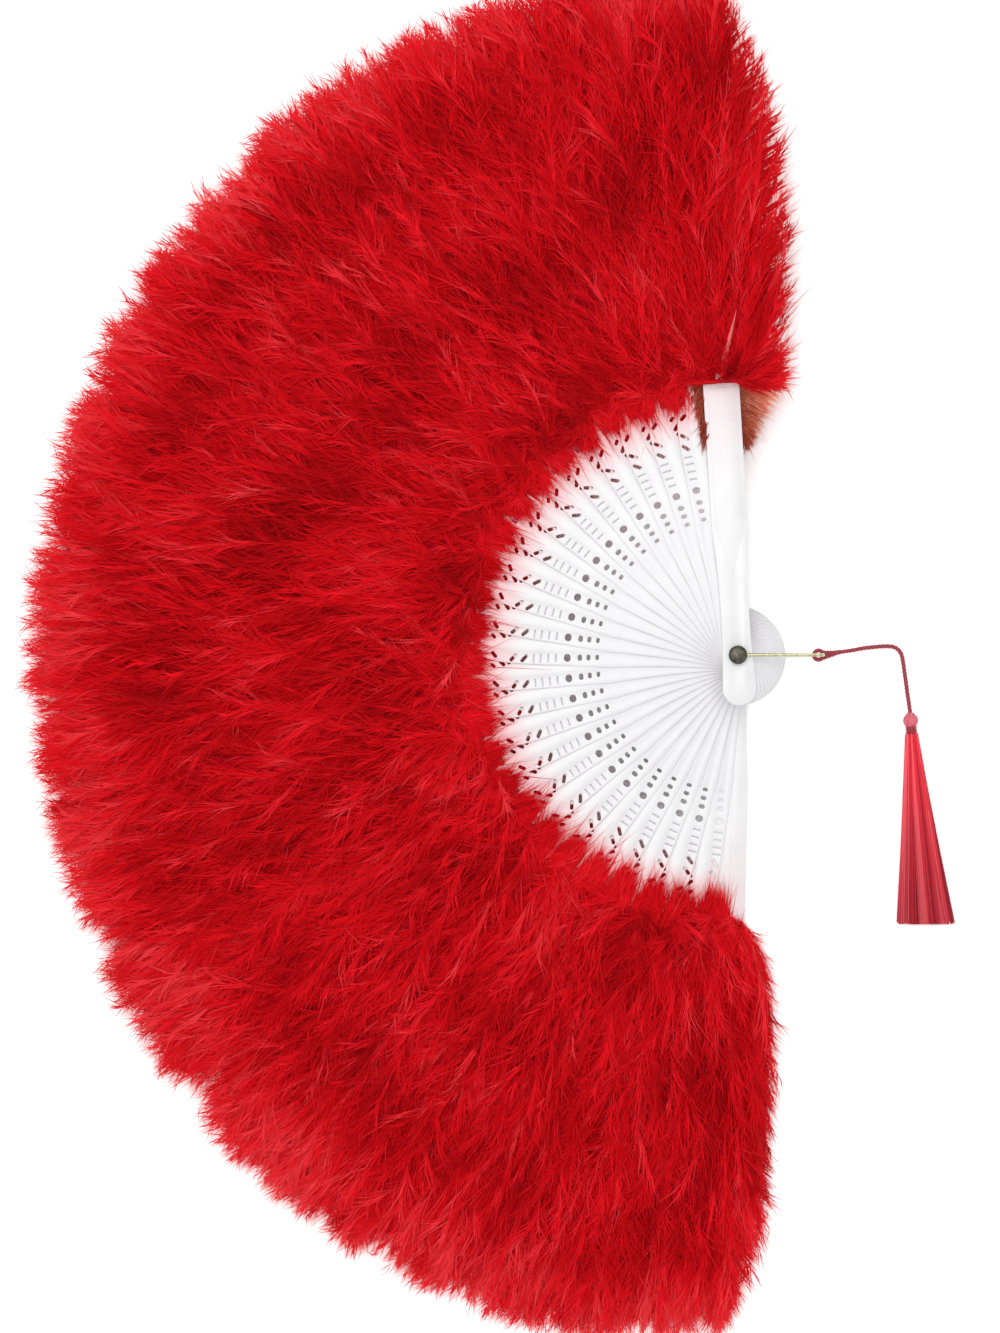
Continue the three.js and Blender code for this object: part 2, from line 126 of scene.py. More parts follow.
# Fluff of a plume: barbs on a rachis, each with tufts of barbules
RACHIS_START = 98
RACHIS_END = 224
RIM = 259
RIM_VARIATION = 2
RIM_BAND = 0.07  # outer share of the plume where its outermost barbs end
RIM_SHARE = 0.3  # share of the barbs that end there
FRINGE = 8  # most that a barbule may reach past its barb's tip
TIP_LIMIT = 268  # farthest from the rivet that a strand may end
REACH_VARIATION = 2  # of the rims of whole plumes
FRONT_SHORTFALL = (5, 7)  # of the front plume's rim, and over how many places it fades
REAR_SHORTFALL = (5, 2)  # of the rim from one place to the next, over the last places
QUILL_RADIUS = 0.7
QUILL_TONE = 0.3
BARE_QUILL_TONE = 0.02
STRAND_RADIUS = 0.205
STRAND_RADII = (0.75, 1.2)  # least and most, times STRAND_RADIUS
STRAND_STEPS = (0.45,)  # where a strand has rings, as shares of its length
BARB_LENGTH = (36, 54)
BARB_TIP_HEIGHT = (1.5, 6)  # mean and spread
RIM_DROP = 5  # of the barbs' tips, from RIM_DROP_START on
RIM_DROP_START = 225
RIM_DROP_RUN = 30
RIGHT_BEND = 0.6
FRONT_BEND, REAR_BEND = 0.38, 0.72  # on the left of the first and the last plume
FRONT_DRIFT, REAR_DRIFT = 3, -4  # of the barbs' tips to the left
ROOT_NARROWING = ((104, 128), (1, 0.1))  # distances, then shares of the roots' spread
INNER_ROOT_SPREAD = 2.5
LEAN_OUT, GUARD_LEAN_OUT = 0.75, 1.3  # above 1, more barbs end near the stick
FRONT_LEFT_SHARE, REAR_LEFT_SHARE = 0.26, 0.6  # of a guard's barbs, to the left
BARBULE_LENGTH = (10, 23)
BARBULE_SLANT = (0.05, 0.48)
FLUFF_UP = 11
FLUFF_DOWN = 13
TABLE_CLEARANCE = 0.5
# Half-widths of the fluff: distances from the rivet, then widths at them
INNER_SIDE = ((88, 100, 125, 200, 240, 262), (8, 16, 26, 29, 27, 23))
FRONT_RIGHT_SIDE = (
    (94, 98, 104, 120, 160, 190, 208, 226, 234, 242, 256),
    (15, 21, 24, 26, 29, 29, 25, 18, 15, 11, 5),
)
REAR_LEFT_SIDE = (
    (90, 96, 104, 113, 128, 150, 176, 205, 228, 240, 248),
    (-5, -2, 4, 9, 16, 20, 18, 19, 15, 6, 2),
)
SIDE_ALLOWANCE = 7  # most that a strand may stand out of the sides of a guard's plume
INNER_BARBS = 445
GUARD_BARBS = 620
TUFTS_PER_BARB = 10
STRANDS_PER_TUFT = 3
TUFT_JITTER = 1.3
UNDER_LOCKS = 60
WISP_LOCKS = 100
COVER_LOCKS = 110  # over the end of the rear guard
COVER_SHARE = 0.75
STRANDS_PER_LOCK = 6
LOCK_JITTER = 1.6
WISP_BACK = 4  # how far the wisps lie back near the rear guard
WISP_BACK_START, WISP_BACK_RUN = 16, 4  # places where that sets in
# Tones of strands, from 0 to 1: means and spreads
BARB_TONE = (0.5, 0.16)
LOCK_TONE = (0.55, 0.12)
TUFT_TONE_SPREAD = 0.06
STRAND_TONE_SPREAD = 0.07
# Partly painted shade and light: broad darker and lighter patches over the fluff
PATCH_TONE_AND_SHADE = 0.2
# Painted light: strands that end near the rim are paler, for the light that the thin rim lets through and
# catches without self-shadowing
RIM_PAINTED_LIGHT = 0.3
RIM_PAINTED_LIGHT_START = 236
RIM_PAINTED_LIGHT_RUN = 14
TONE_LIMITS = (0.12, 0.97)
MAP_STEP = 0.006  # width of a strand's face in the bake map
MAP_LOW, MAP_RUN, MAP_HIGH = 0.03, 0.93, 0.97  # a strand's place in its height
# Vane: broad barbs side by side in the middle of the fluff, in a darker tone that is painted shade of the
# fluff's depth
VANE_START = 106
VANE_BARBS = 100  # on each side of the rachis
GUARD_VANE_BARBS = 170
VANE_SLANT = 18
VANE_SHARE = 0.62  # of the fluff's width
OUTER_VANE_SHARE = 0.98  # on the outer sides of the guards' plumes
VANE_RADIUS = 1.1
VANE_OVERLAP = 3  # past the rachis
VANE_SHADE_TONE = 0.36
TONGUE_COVER_END = 124  # where the front plume's broad barbs lie over the guard's tongue
TONGUE_COVER_LIFT = 1.8
BARE_SIDE_MIDDLE, BARE_SIDE_REACH = 4, 5  # where the front plume stays off its guard's face
BARE_SIDE_JITTER = 0.8
# Pale quills that lie bare above the end of the front guard
BARE_QUILLS = [
    [(98, 0, 1.5), (109, -1, 6.5), (118, -4, 8)],
    [(104, -1.2, 4), (114, -3, 8), (126, -7, 9)],
    [(99, -1, 2), (106, -1.6, 5), (113, -3.4, 7)],
]
BARE_QUILL_RADIUS = 1
# Brown down beside the front guard
DOWN_LOCKS = 260
DOWN_RIGHT_SHARE = 0.75
DOWN_LEVEL = 0.5  # of its roots, above the guard's underside
DOWN_START, DOWN_RUN = 99, 24
DOWN_RIGHT = (21, 0.9, 1)  # width at the start, share lost along the run, added width
DOWN_LEFT = (6, 0.7, 0.6)
DOWN_SINK = 6
STRANDS_PER_DOWN_LOCK = 8
DOWN_JITTER = 0.9
DOWN_RADIUS = 0.2

# Rivet and bail
PIN_RADIUS = 1.5
RIVET_HEAD_RADIUS = 3.6
RIVET_HEAD_THICKNESS = 0.9
CAP_RADIUS = 3.4
CAP_HEIGHT = 1.8
CAP_RIM = 0.5
CAP_CHAMFER = 0.15
RIVET_CHAMFER = 0.25
RIVET_SIDES = 40
WIRE_RADIUS = 0.6
EYE_RADIUS = 2.4
BAIL_REACH = 31.5
BAIL_CORNER = 2.2
CORNER_STEPS = 8

# Cord: the route of its middle, from the knot to the tassel's head
CORD_RADIUS = 0.85
CORD_ROUTE = [
    (37.7, 0.9, 5.0), (39.6, 1.1, 4.9), (42.6, 1.5, 3.9), (45.6, 2.0, 2.5),
    (48.8, 2.6, 1.4), (52.4, 3.0, 0.95), (56.2, 3.3, 0.9), (59.2, 3.2, 0.9),
    (61.4, 2.2, 0.9), (62.8, 0.2, 0.9), (63.4, -2.6, 0.9), (63.9, -6.2, 0.9),
    (64.5, -10.4, 0.9), (65.0, -14.4, 1.1), (65.5, -18.2, 1.9), (65.8, -21.4, 2.7),
]
CORD_LAY = 4.6  # length of one twist
CORD_STRANDS = 3
KNOT_HEIGHT = 5
KNOT_END = 37.4
KNOT_TURNS = 4
KNOT_RADII = (1.25, 0.5)  # of the wraps at the loop and at the cord
WRAP_RADIUS = 0.58
KNOT_CORE_RADIUS = 0.9
LOOP_TILT = 0.12

# Tassel, along its own axis
TASSEL_LEAN = 4.2
SEAT_GAP = 0.3
HEAD_RADIUS = 2.8
HEAD_LENGTH = 5.4
NECK_RADIUS = 2.1
NECK_LENGTH = 2.8
NECK_TURNS = 4
BUTTON_CORE = 0.86  # share of the head's radius
BUTTON_STRANDS = 6
BUTTON_TWIST = 2.4
BUTTON_ENDS = (0.08, 0.94)
BINDING_RADIUS = 0.42
SKIRT_LENGTH = 71
SKIRT_TOP = (2.2, 2.2)
SKIRT_END = (10.4, 2.5)
SKIRT_BEND = 0.42  # share of its length and width at the middle control
THREADS = 420
THREAD_RADIUS = 0.3
THREAD_STEPS = (0, 0.33, 0.66, 0.985)
CORD_INSIDE = (7, 15, 23)  # where the cord runs on inside the tassel

# Stage, in metres
FLOOR_HALF = 3.0
FLOOR_DROP = 0.0003
FLOOR_SEEN = 1.5
FILL = 0.65
LAMP_POWER = 20
LAMP_SIZE = 1.5
LAMP_PLACE = (-0.3, 0.35, 2.0)
LAMP_AIM = (-0.08, 0, 0)


# Nodes and materials
def node(tree, kind, links=(), **values):
    """A shader node; links maps input names to sockets, values set inputs or properties."""
    made = tree.nodes.new(kind)
    for key, value in values.items():
        name = key.replace("_", " ").title()
        if name in made.inputs:
            made.inputs[name].default_value = value
        else:
            setattr(made, key, value)
    for name, socket in dict(links).items():
        tree.links.new(socket, made.inputs[name])
    return made


def blank_material(name):
    material = bpy.data.materials.new(name)
    material.use_nodes = True
    material.node_tree.nodes.clear()
    return material, material.node_tree


def show(tree, shader, kind="ShaderNodeOutputMaterial"):
    tree.links.new(shader.outputs[0], tree.nodes.new(kind).inputs["Surface"])


def principled(tree, colour, roughness, normal, **values):
    links = {"Base Color": colour, "Roughness": roughness, "Normal": normal}
    show(tree, node(tree, "ShaderNodeBsdfPrincipled", links, **values))


def ramp(tree, factor, stops):
    made = node(tree, "ShaderNodeValToRGB", {"Fac": factor})
    elements = made.color_ramp.elements
    while len(elements) < len(stops):
        elements.new(1)
    for element, (place, colour) in zip(elements, stops):
        element.position = place
        element.color = (*colour, 1)
    return made.outputs["Color"]


def noise(tree, vector, scale, detail=3):
    made = node(tree, "ShaderNodeTexNoise", {"Vector": vector}, scale=scale, detail=detail)
    return made.outputs["Fac"]


def bump(tree, height, distance, strength=0.4):
    made = node(tree, "ShaderNodeBump", {"Height": height}, strength=strength, distance=distance)
    return made.outputs["Normal"]


def spread_value(tree, value, low, high):
    """A 0 to 1 value spread over low to high."""
    return node(tree, "ShaderNodeMapRange", {"Value": value}, to_min=low, to_max=high).outputs["Result"]


def maths(tree, operation, first, second):
    return node(tree, "ShaderNodeMath", {0: first, 1: second}, operation=operation).outputs["Value"]


def object_coordinates(tree):
    return node(tree, "ShaderNodeTexCoord").outputs["Object"]


def plastic_material(name, dark, light, bounce_light_start, bounce_light_end, bounce_light_share):
    """Glossy white moulding, with painted pink light between two distances from the rivet, for the red
    light that the fluff throws on it.
    """
    material, tree = blank_material(name)
    place = object_coordinates(tree)
    cloud = noise(tree, place, 90)
    white = ramp(tree, cloud, [(0.3, dark), (0.7, light)])
    along = node(tree, "ShaderNodeSeparateXYZ", {"Vector": place}).outputs["X"]
    painted_bounce = node(
        tree,
        "ShaderNodeMapRange",
        {"Value": along},
        interpolation_type="SMOOTHSTEP",
        from_min=bounce_light_start * MM,
        from_max=bounce_light_end * MM,
        to_max=bounce_light_share,
    )
    share = painted_bounce.outputs["Result"]
    # painted light: pink tint for red light bounced from the fluff
    mix = node(tree, "ShaderNodeMixRGB", {"Fac": share, "Color1": white}, color2=(0.9, 0.36, 0.38, 1))
    grain = bump(tree, noise(tree, place, 1800, 2), 0.05 * MM, 0.15)
    principled(tree, mix.outputs["Color"], spread_value(tree, cloud, 0.22, 0.36), grain)
    return material


def strand_material(name, stops, root_shade, tip_shade, roughness, sheen):
    """Hair-like strands: the bake map's u is the tone of a strand and v runs along it."""
    material, tree = blank_material(name)
    uv = node(tree, "ShaderNodeUVMap", uv_map=BAKE_MAP).outputs["UV"]
    axes = node(tree, "ShaderNodeSeparateXYZ", {"Vector": uv})
    tone = ramp(tree, axes.outputs["X"], stops)
    shade = spread_value(tree, axes.outputs["Y"], root_shade, tip_shade)
    stretched = node(tree, "ShaderNodeVectorMath", {0: uv}, operation="MULTIPLY")
    stretched.inputs[1].default_value = (60, 5, 1)
    streak = spread_value(tree, noise(tree, stretched.outputs["Vector"], 1, 2), 0.9, 1.05)
    factor = maths(tree, "MULTIPLY", shade, streak)
    colour = node(tree, "ShaderNodeVectorMath", {0: tone, "Scale": factor}, operation="SCALE")
    fibre = node(
        tree,
        "ShaderNodeBsdfPrincipled",
        {"Base Color": colour.outputs["Vector"]},
        roughness=roughness,
        sheen_weight=sheen,
        sheen_roughness=0.5,
        sheen_tint=(1, 0.2, 0.22, 1),
    )
    fibre.inputs["Specular IOR Level"].default_value = 0.1
    show(tree, fibre)
    return material


def metal_material(name, dark, light, roughness):
    material, tree = blank_material(name)
    place = object_coordinates(tree)
    tarnish = noise(tree, place, 700, 4)
    scratches = bump(tree, noise(tree, place, 4000, 2), 0.03 * MM, 0.2)
    colour = ramp(tree, tarnish, [(0.35, dark), (0.65, light)])
    shine = spread_value(tree, tarnish, roughness - 0.1, roughness + 0.1)
    principled(tree, colour, shine, scratches, metallic=1)
    return material


def cloth_material(name, dark, light, scale, sheen):
    """Silky thread or satin, its fine lay made by noise and bump."""
    material, tree = blank_material(name)
    lay = noise(tree, object_coordinates(tree), scale, 3)
    colour = ramp(tree, lay, [(0.3, dark), (0.7, light)])
    relief = bump(tree, lay, 0.1 * MM, 0.5)
    shine = spread_value(tree, lay, 0.4, 0.6)
    principled(tree, colour, shine, relief, sheen_weight=sheen, sheen_tint=(1, 0.5, 0.5, 1))
    return material


# Meshes
def to_mesh(name, points, faces, material):
    """A smooth-shaded mesh from points in millimetres."""
    mesh = bpy.data.meshes.new(name)
    mesh.from_pydata((np.asarray(points, float) * MM).tolist(), [], faces)
    mesh.materials.append(material)
    mesh.shade_smooth()
    mesh.set_sharp_from_angle(angle=radians(SHARP_ANGLE))
    mesh.validate()
    return mesh


def recolour(mesh, material, first_face):
    """Give the faces from first_face on a second material."""
    mesh.materials.append(material)
    for face in mesh.polygons[first_face:]:
        face.material_index = 1
    return mesh


def joined(*parts):
    """Points and faces of several bodies as one list."""
    points, faces = [], []
    for part_points, part_faces in parts:
        start = len(points)
        points.extend(part_points)
        faces.extend([tuple(start + i for i in face) for face in part_faces])
    return points, faces


def loft(rings, closed=False):
    """A skin through rings of equally many points, with a cap on both ends unless closed."""
    sides = len(rings[0])
    points = [tuple(p) for ring in rings for p in ring]
    faces = []
    for i in range(len(rings) if closed else len(rings) - 1):
        j = (i + 1) % len(rings)
        for k in range(sides):
            n = (k + 1) % sides
            faces.append((i * sides + k, i * sides + n, j * sides + n, j * sides + k))
    if not closed:
        last = (len(rings) - 1) * sides
        faces.append(tuple(reversed(range(sides))))
        faces.append(tuple(last + k for k in range(sides)))
    return points, faces


def smooth_line(points, steps):
    """Points along a Catmull-Rom curve through the given ones."""
    p = np.asarray(points, float)
    p = np.vstack([2 * p[0] - p[1], p, 2 * p[-1] - p[-2]])
    line = []
    for i in range(1, len(p) - 2):
        a, b, c, d = p[i - 1 : i + 3]
        for t in np.arange(steps) / steps:
            square = 2 * a - 5 * b + 4 * c - d
            cube = 3 * b - a - 3 * c + d
            line.append(0.5 * (2 * b + (c - a) * t + square * t**2 + cube * t**3))
    line.append(p[-2])
    return np.array(line)


def tube(line, radius, sides, lobes=0, lay=1.0, closed=False):
    """A tube along a line; with lobes its section is that of a twisted rope."""
    line = np.asarray(line, float)
    if closed:
        tangent = np.roll(line, -1, 0) - np.roll(line, 1, 0)
    else:
        tangent = np.gradient(line, axis=0)
    tangent /= np.linalg.norm(tangent, axis=1)[:, None]
    steps = np.linalg.norm(np.diff(line, axis=0), axis=1)
    run = np.concatenate([[0], np.cumsum(steps)])
    side = np.cross(tangent[0], (0.31, 0.17, 0.93))
    rings = []
    for point, direction, length in zip(line, tangent, run):
        side = side - direction * side.dot(direction)
        side = side / np.linalg.norm(side)
        up = np.cross(direction, side)
        turn = np.arange(sides) * 2 * pi / sides
        reach = np.full(sides, float(radius))
        if lobes:
            reach *= 0.86 + 0.14 * np.cos(lobes * (turn - 2 * pi * length / lay))
        rings.append(point + np.outer(reach * np.cos(turn), side) + np.outer(reach * np.sin(turn), up))
    return loft(rings, closed)


def circle(radius, sides):
    turns = [2 * pi * i / sides for i in range(sides)]
    return [(radius * cos(turn), radius * sin(turn)) for turn in turns]


def lathe(profile, sides):
    """A profile of (radius, height) pairs turned round Z, both ends on the axis."""
    points = [(0, 0, profile[0][1])]
    for radius, height in profile[1:-1]:
        points += [(x, y, height) for x, y in circle(radius, sides)]
    points.append((0, 0, profile[-1][1]))
    top = len(points) - 1
    faces = []
    for k in range(sides):
        n = (k + 1) % sides
        faces.append((0, 1 + n, 1 + k))
        for ring in range(len(profile) - 3):
            a = 1 + ring * sides
            faces.append((a + k, a + n, a + sides + n, a + sides + k))
        last = 1 + (len(profile) - 3) * sides
        faces.append((last + k, last + n, top))
    return points, faces


def plate(outline, holes, low, high, bevel=EDGE_BEVEL):
    """Points and faces of a flat plate with holes and rounded edges between two heights."""
    curve = bpy.data.curves.new("plate", "CURVE")
    curve.dimensions = "2D"
    curve.fill_mode = "BOTH"
    curve.extrude = (high - low) / 2 - bevel
    curve.bevel_depth = bevel
    curve.bevel_resolution = 1
    curve.offset = -bevel
    for loop in [outline, *holes]:
        spline = curve.splines.new("POLY")
        spline.points.add(len(loop) - 1)
        for point, (x, y) in zip(spline.points, loop):
            point.co = (x, y, 0, 1)
        spline.use_cyclic_u = True
    holder = bpy.data.objects.new("plate", curve)
    mesh = bpy.data.meshes.new_from_object(holder)
    welded = bmesh.new()
    welded.from_mesh(mesh)
    bmesh.ops.remove_doubles(welded, verts=welded.verts, dist=WELD)
    bmesh.ops.recalc_face_normals(welded, faces=welded.faces)
    welded.verts.index_update()
    middle = (low + high) / 2
    points = [(v.co.x, v.co.y, v.co.z + middle) for v in welded.verts]
    faces = [tuple(v.index for v in face.verts) for face in welded.faces]
    welded.free()
    bpy.data.objects.remove(holder)
    bpy.data.curves.remove(curve)
    bpy.data.meshes.remove(mesh)
    return points, faces


def linked(name, data):
    made = bpy.data.objects.new(name, data)
    bpy.context.scene.collection.objects.link(made)
    return made


def add_piece(name, mesh, body, slot, *nodes):
    piece = linked(name, mesh)
    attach(piece, body)
    if nodes:
        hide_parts(*nodes)
    return piece


# Places in the fan
def stick_name(place):
    if place == 0:
        return "front_guard"
    return "rear_guard" if place == REAR_PLACE else f"stick_{place:02d}"


def plume_name(place):
    if place == 0:
        return "front_plume"
    return "rear_plume" if place == REAR_PLACE else f"plume_{place:02d}"


def stick_angle(place):
    return radians(FRONT_ANGLE + PITCH * place)


def layer_low(place):
    """Underside of the stick at a place, from the frame."""
    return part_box(stick_name(place))[0].z / MM


def in_fan(piece, place):
    lift = Matrix.Translation((0, 0, layer_low(place) * MM))
    piece.matrix_world = lift @ Matrix.Rotation(stick_angle(place), 4, "Z")
    return piece


def turned_to(points, place):
    """Points in a stick's own axes, turned to its place in the open fan."""
    angle = stick_angle(place)
    c, s = cos(angle), sin(angle)
    turn = np.array([[c, s, 0], [-s, c, 0], [0, 0, 1]])
    return np.asarray(points) @ turn


# Sticks
def mirrored(edge):
    return edge + [(x, -y) for x, y in reversed(edge) if y > 0]


def gorge_edge(tail_steps=14, gorge_steps=20):
    """One edge of a stick from the middle of its round tail to the start of the blade."""
    tail = HEAD_HALF_WIDTH - TAIL_LENGTH
    edge = []
    for i in range(tail_steps):
        turn = i / tail_steps * pi / 2
        edge.append((tail - HEAD_HALF_WIDTH * cos(turn), HEAD_HALF_WIDTH * sin(turn)))
    pull = 2 * WAIST_HALF_WIDTH - (HEAD_HALF_WIDTH + BLADE_HALF_WIDTH) / 2
    for i in range(gorge_steps + 1):
        t = i / gorge_steps
        a, b, c = (1 - t) ** 2, 2 * t * (1 - t), t * t
        x = a * tail + b * (tail + BLADE_START) / 2 + c * BLADE_START
        edge.append((x, a * HEAD_HALF_WIDTH + b * pull + c * BLADE_HALF_WIDTH))
    return edge


def piercing(x, y, length, width, slant):
    """A slit with cut corners, its length across the stick."""
    corner = CORNER_SHARE * width
    half_w, half_l = width / 2, length / 2
    loop = []
    for sx, sy, first in [(-1, -1, 0), (-1, 1, 1), (1, 1, 0), (1, -1, 1)]:
        pair = [(sx * (half_w - corner), sy * half_l), (sx * half_w, sy * (half_l - corner))]
        loop += reversed(pair) if first else pair
    c, s = cos(radians(slant)), sin(radians(slant))
    return [(x + px * c - py * s, y + px * s + py * c) for px, py in loop]


def column_offset(distance):
    return distance * tan(radians(PITCH) / 2)


def piercings():
    loops = []
    for side in (-1, 1):
        for x, length, width in DOTS + (FINE_SLITS if side > 0 else []):
            loops.append(piercing(x, side * column_offset(x), length, width, 0))
        for middle, offset, length, width, slant in SLANTS:
            lean = tan(radians(slant))
            x = middle + side * lean * (column_offset(middle) - offset)
            loops.append(piercing(x, side * offset, length, width, slant))
    return loops


def rib():
    """A crowned rib down the middle of a stick, pointed where it runs into the fluff."""
    low, high = WEB_LOW + RIB_LIFT, STICK_THICKNESS
    rings = []
    for x, half in RIB:
        crown = [(-half, low), (half, low), (half, high - RIB_CHAMFER), (CROWN_SHARE * half, high)]
        crown += [(-CROWN_SHARE * half, high), (-half, high - RIB_CHAMFER)]
        rings.append([(x, y, z) for y, z in crown])
    return loft(rings)


def stick_mesh(web, white):
    """A thin pierced web with a raised rib and a boss round the rivet."""
    edge = gorge_edge()
    fall = BLADE_HALF_WIDTH - TONGUE_ROOT_HALF_WIDTH
    for turn in np.linspace(0, pi / 2, 13):
        x = TONGUE_START - SHOULDER_LENGTH * (1 - sin(turn))
        edge.append((x, TONGUE_ROOT_HALF_WIDTH + fall * cos(turn)))
    outline = mirrored(edge + [(TONGUE_END, TONGUE_TIP_HALF_WIDTH)])
    hole = circle(RIVET_HOLE, HOLE_SIDES)
    parts = [
        plate(outline, [hole] + piercings(), WEB_LOW, WEB_HIGH),
        plate(circle(BOSS_RADIUS, 32), [hole], 0, STICK_THICKNESS),
        rib(),
    ]
    web_faces = len(parts[0][1])
    return recolour(to_mesh("stick", *joined(*parts), web), white, web_faces)


def guard_mesh(material, panel_up):
    """A guard plate with its raised panel on the outer face."""
    end = [(GUARD_END, BLADE_HALF_WIDTH), (GUARD_END, TONGUE_ROOT_HALF_WIDTH)]
    outline = mirrored(gorge_edge() + end + [(TONGUE_END, TONGUE_TIP_HALF_WIDTH)])
    inner = BLADE_HALF_WIDTH - PANEL_MARGIN
    panel = [(PANEL_START, 0), (BLADE_START, inner), (GUARD_END - PANEL_MARGIN, inner)]
    body_low = 0 if panel_up else PANEL_HEIGHT
    body_high = body_low + GUARD_THICKNESS - PANEL_HEIGHT
    panel_low = GUARD_THICKNESS - 2 * PANEL_HEIGHT if panel_up else 0
    body = plate(outline, [circle(RIVET_HOLE, HOLE_SIDES)], body_low, body_high, GUARD_BEVEL)
    raised = plate(mirrored(panel), [], panel_low, panel_low + 2 * PANEL_HEIGHT, PANEL_BEVEL)
    return to_mesh("guard", *joined(body, raised), material)


def add_sticks():
    # The web is the ribs' white plastic, a little darker and cooler: painted shade of its recess below the
    # ribs. All three get painted pink bounce light near the fluff.
    web = plastic_material("web_plastic_painted_shade", (0.78, 0.775, 0.79), (0.84, 0.835, 0.85), 74, 97, 0.75)
    white = plastic_material("rib_plastic", (0.81, 0.81, 0.815), (0.87, 0.87, 0.875), 78, 97, 0.8)
    guard_plastic = plastic_material("guard_plastic", (0.81, 0.81, 0.82), (0.87, 0.87, 0.875), 55, 96, 0.14)
    inner = stick_mesh(web, white)
    for place in range(1, REAR_PLACE):
        name = stick_name(place)
        in_fan(add_piece(f"pierced_{name}", inner.copy(), name, "stick_plastic", name), place)
    front = guard_mesh(guard_plastic, True)
    rear = guard_mesh(guard_plastic, False)
    in_fan(add_piece("panelled_front_guard", front, "front_guard", "stick_plastic", "front_guard"), 0)
    in_fan(add_piece("panelled_rear_guard", rear, "rear_guard", "stick_plastic", "rear_guard"), REAR_PLACE)


# Ribbon
def ribbon_ring(angle, along, z):
    turn = angle + along / RIBBON_RADIUS
    inner, outer = RIBBON_RADIUS - RIBBON_WIDTH / 2, RIBBON_RADIUS + RIBBON_WIDTH / 2
    low, high = z - RIBBON_THICKNESS / 2, z + RIBBON_THICKNESS / 2
    corners = [(inner, low), (inner, high), (outer, high), (outer, low)]
    return [(r * cos(turn), r * sin(turn), h) for r, h in corners]


def ribbon_stations(place):
    """Angle offset, height pairs of the ribbon where it passes a stick or a guard."""
    low = layer_low(place)
    glued = RIBBON_THICKNESS
    if place == 0:
        return [(-RIBBON_TAB, low - glued), (RIBBON_TAB, low - glued)]
    if place == REAR_PLACE:
        high = low + GUARD_THICKNESS
        return [(-RIBBON_TAB, high + glued), (REAR_TAB_END, high + glued)]
    above = low + STICK_THICKNESS + RIBBON_LIFT
    return [(-RIBBON_REACH, above), (RIBBON_REACH, low - RIBBON_LIFT)]


def add_ribbon():
    satin = cloth_material("ribbon_satin", (0.32, 0.008, 0.02), (0.5, 0.02, 0.04), 900, 0.5)
    gap = radians(PITCH / 2) * RIBBON_RADIUS
    for place in range(REAR_PLACE + 1):
        own = ribbon_stations(place)
        rings = []
        if place > 0:
            before = ribbon_stations(place - 1)[-1][1]
            rings.append((-gap, (before + own[0][1]) / 2))
        rings += own
        if place < REAR_PLACE:
            after = ribbon_stations(place + 1)[0][1]
            rings.append((gap, (own[-1][1] + after) / 2))
        points, faces = loft([ribbon_ring(stick_angle(place), along, z) for along, z in rings])
        mesh = to_mesh("ribbon", points, [tuple(reversed(f)) for f in faces], satin)
        add_piece(f"ribbon_{place:02d}", mesh, stick_name(place), "ribbon", "linking_ribbon")


# Fluff
def on_curve(controls, t):
    """Points at t on quadratic curves, and the directions there."""
    start, pull, end = controls[:, 0], controls[:, 1], controls[:, 2]
    point = (1 - t) ** 2 * start + 2 * t * (1 - t) * pull + t * t * end
    along = (1 - t) * (pull - start) + t * (end - pull)
    return point, along / np.linalg.norm(along, axis=1)[:, None]


def curves(*controls):
    """Control points of many curves, each control given by its three columns."""
    return np.stack([np.stack(np.broadcast_arrays(*columns), axis=1) for columns in controls], axis=1)


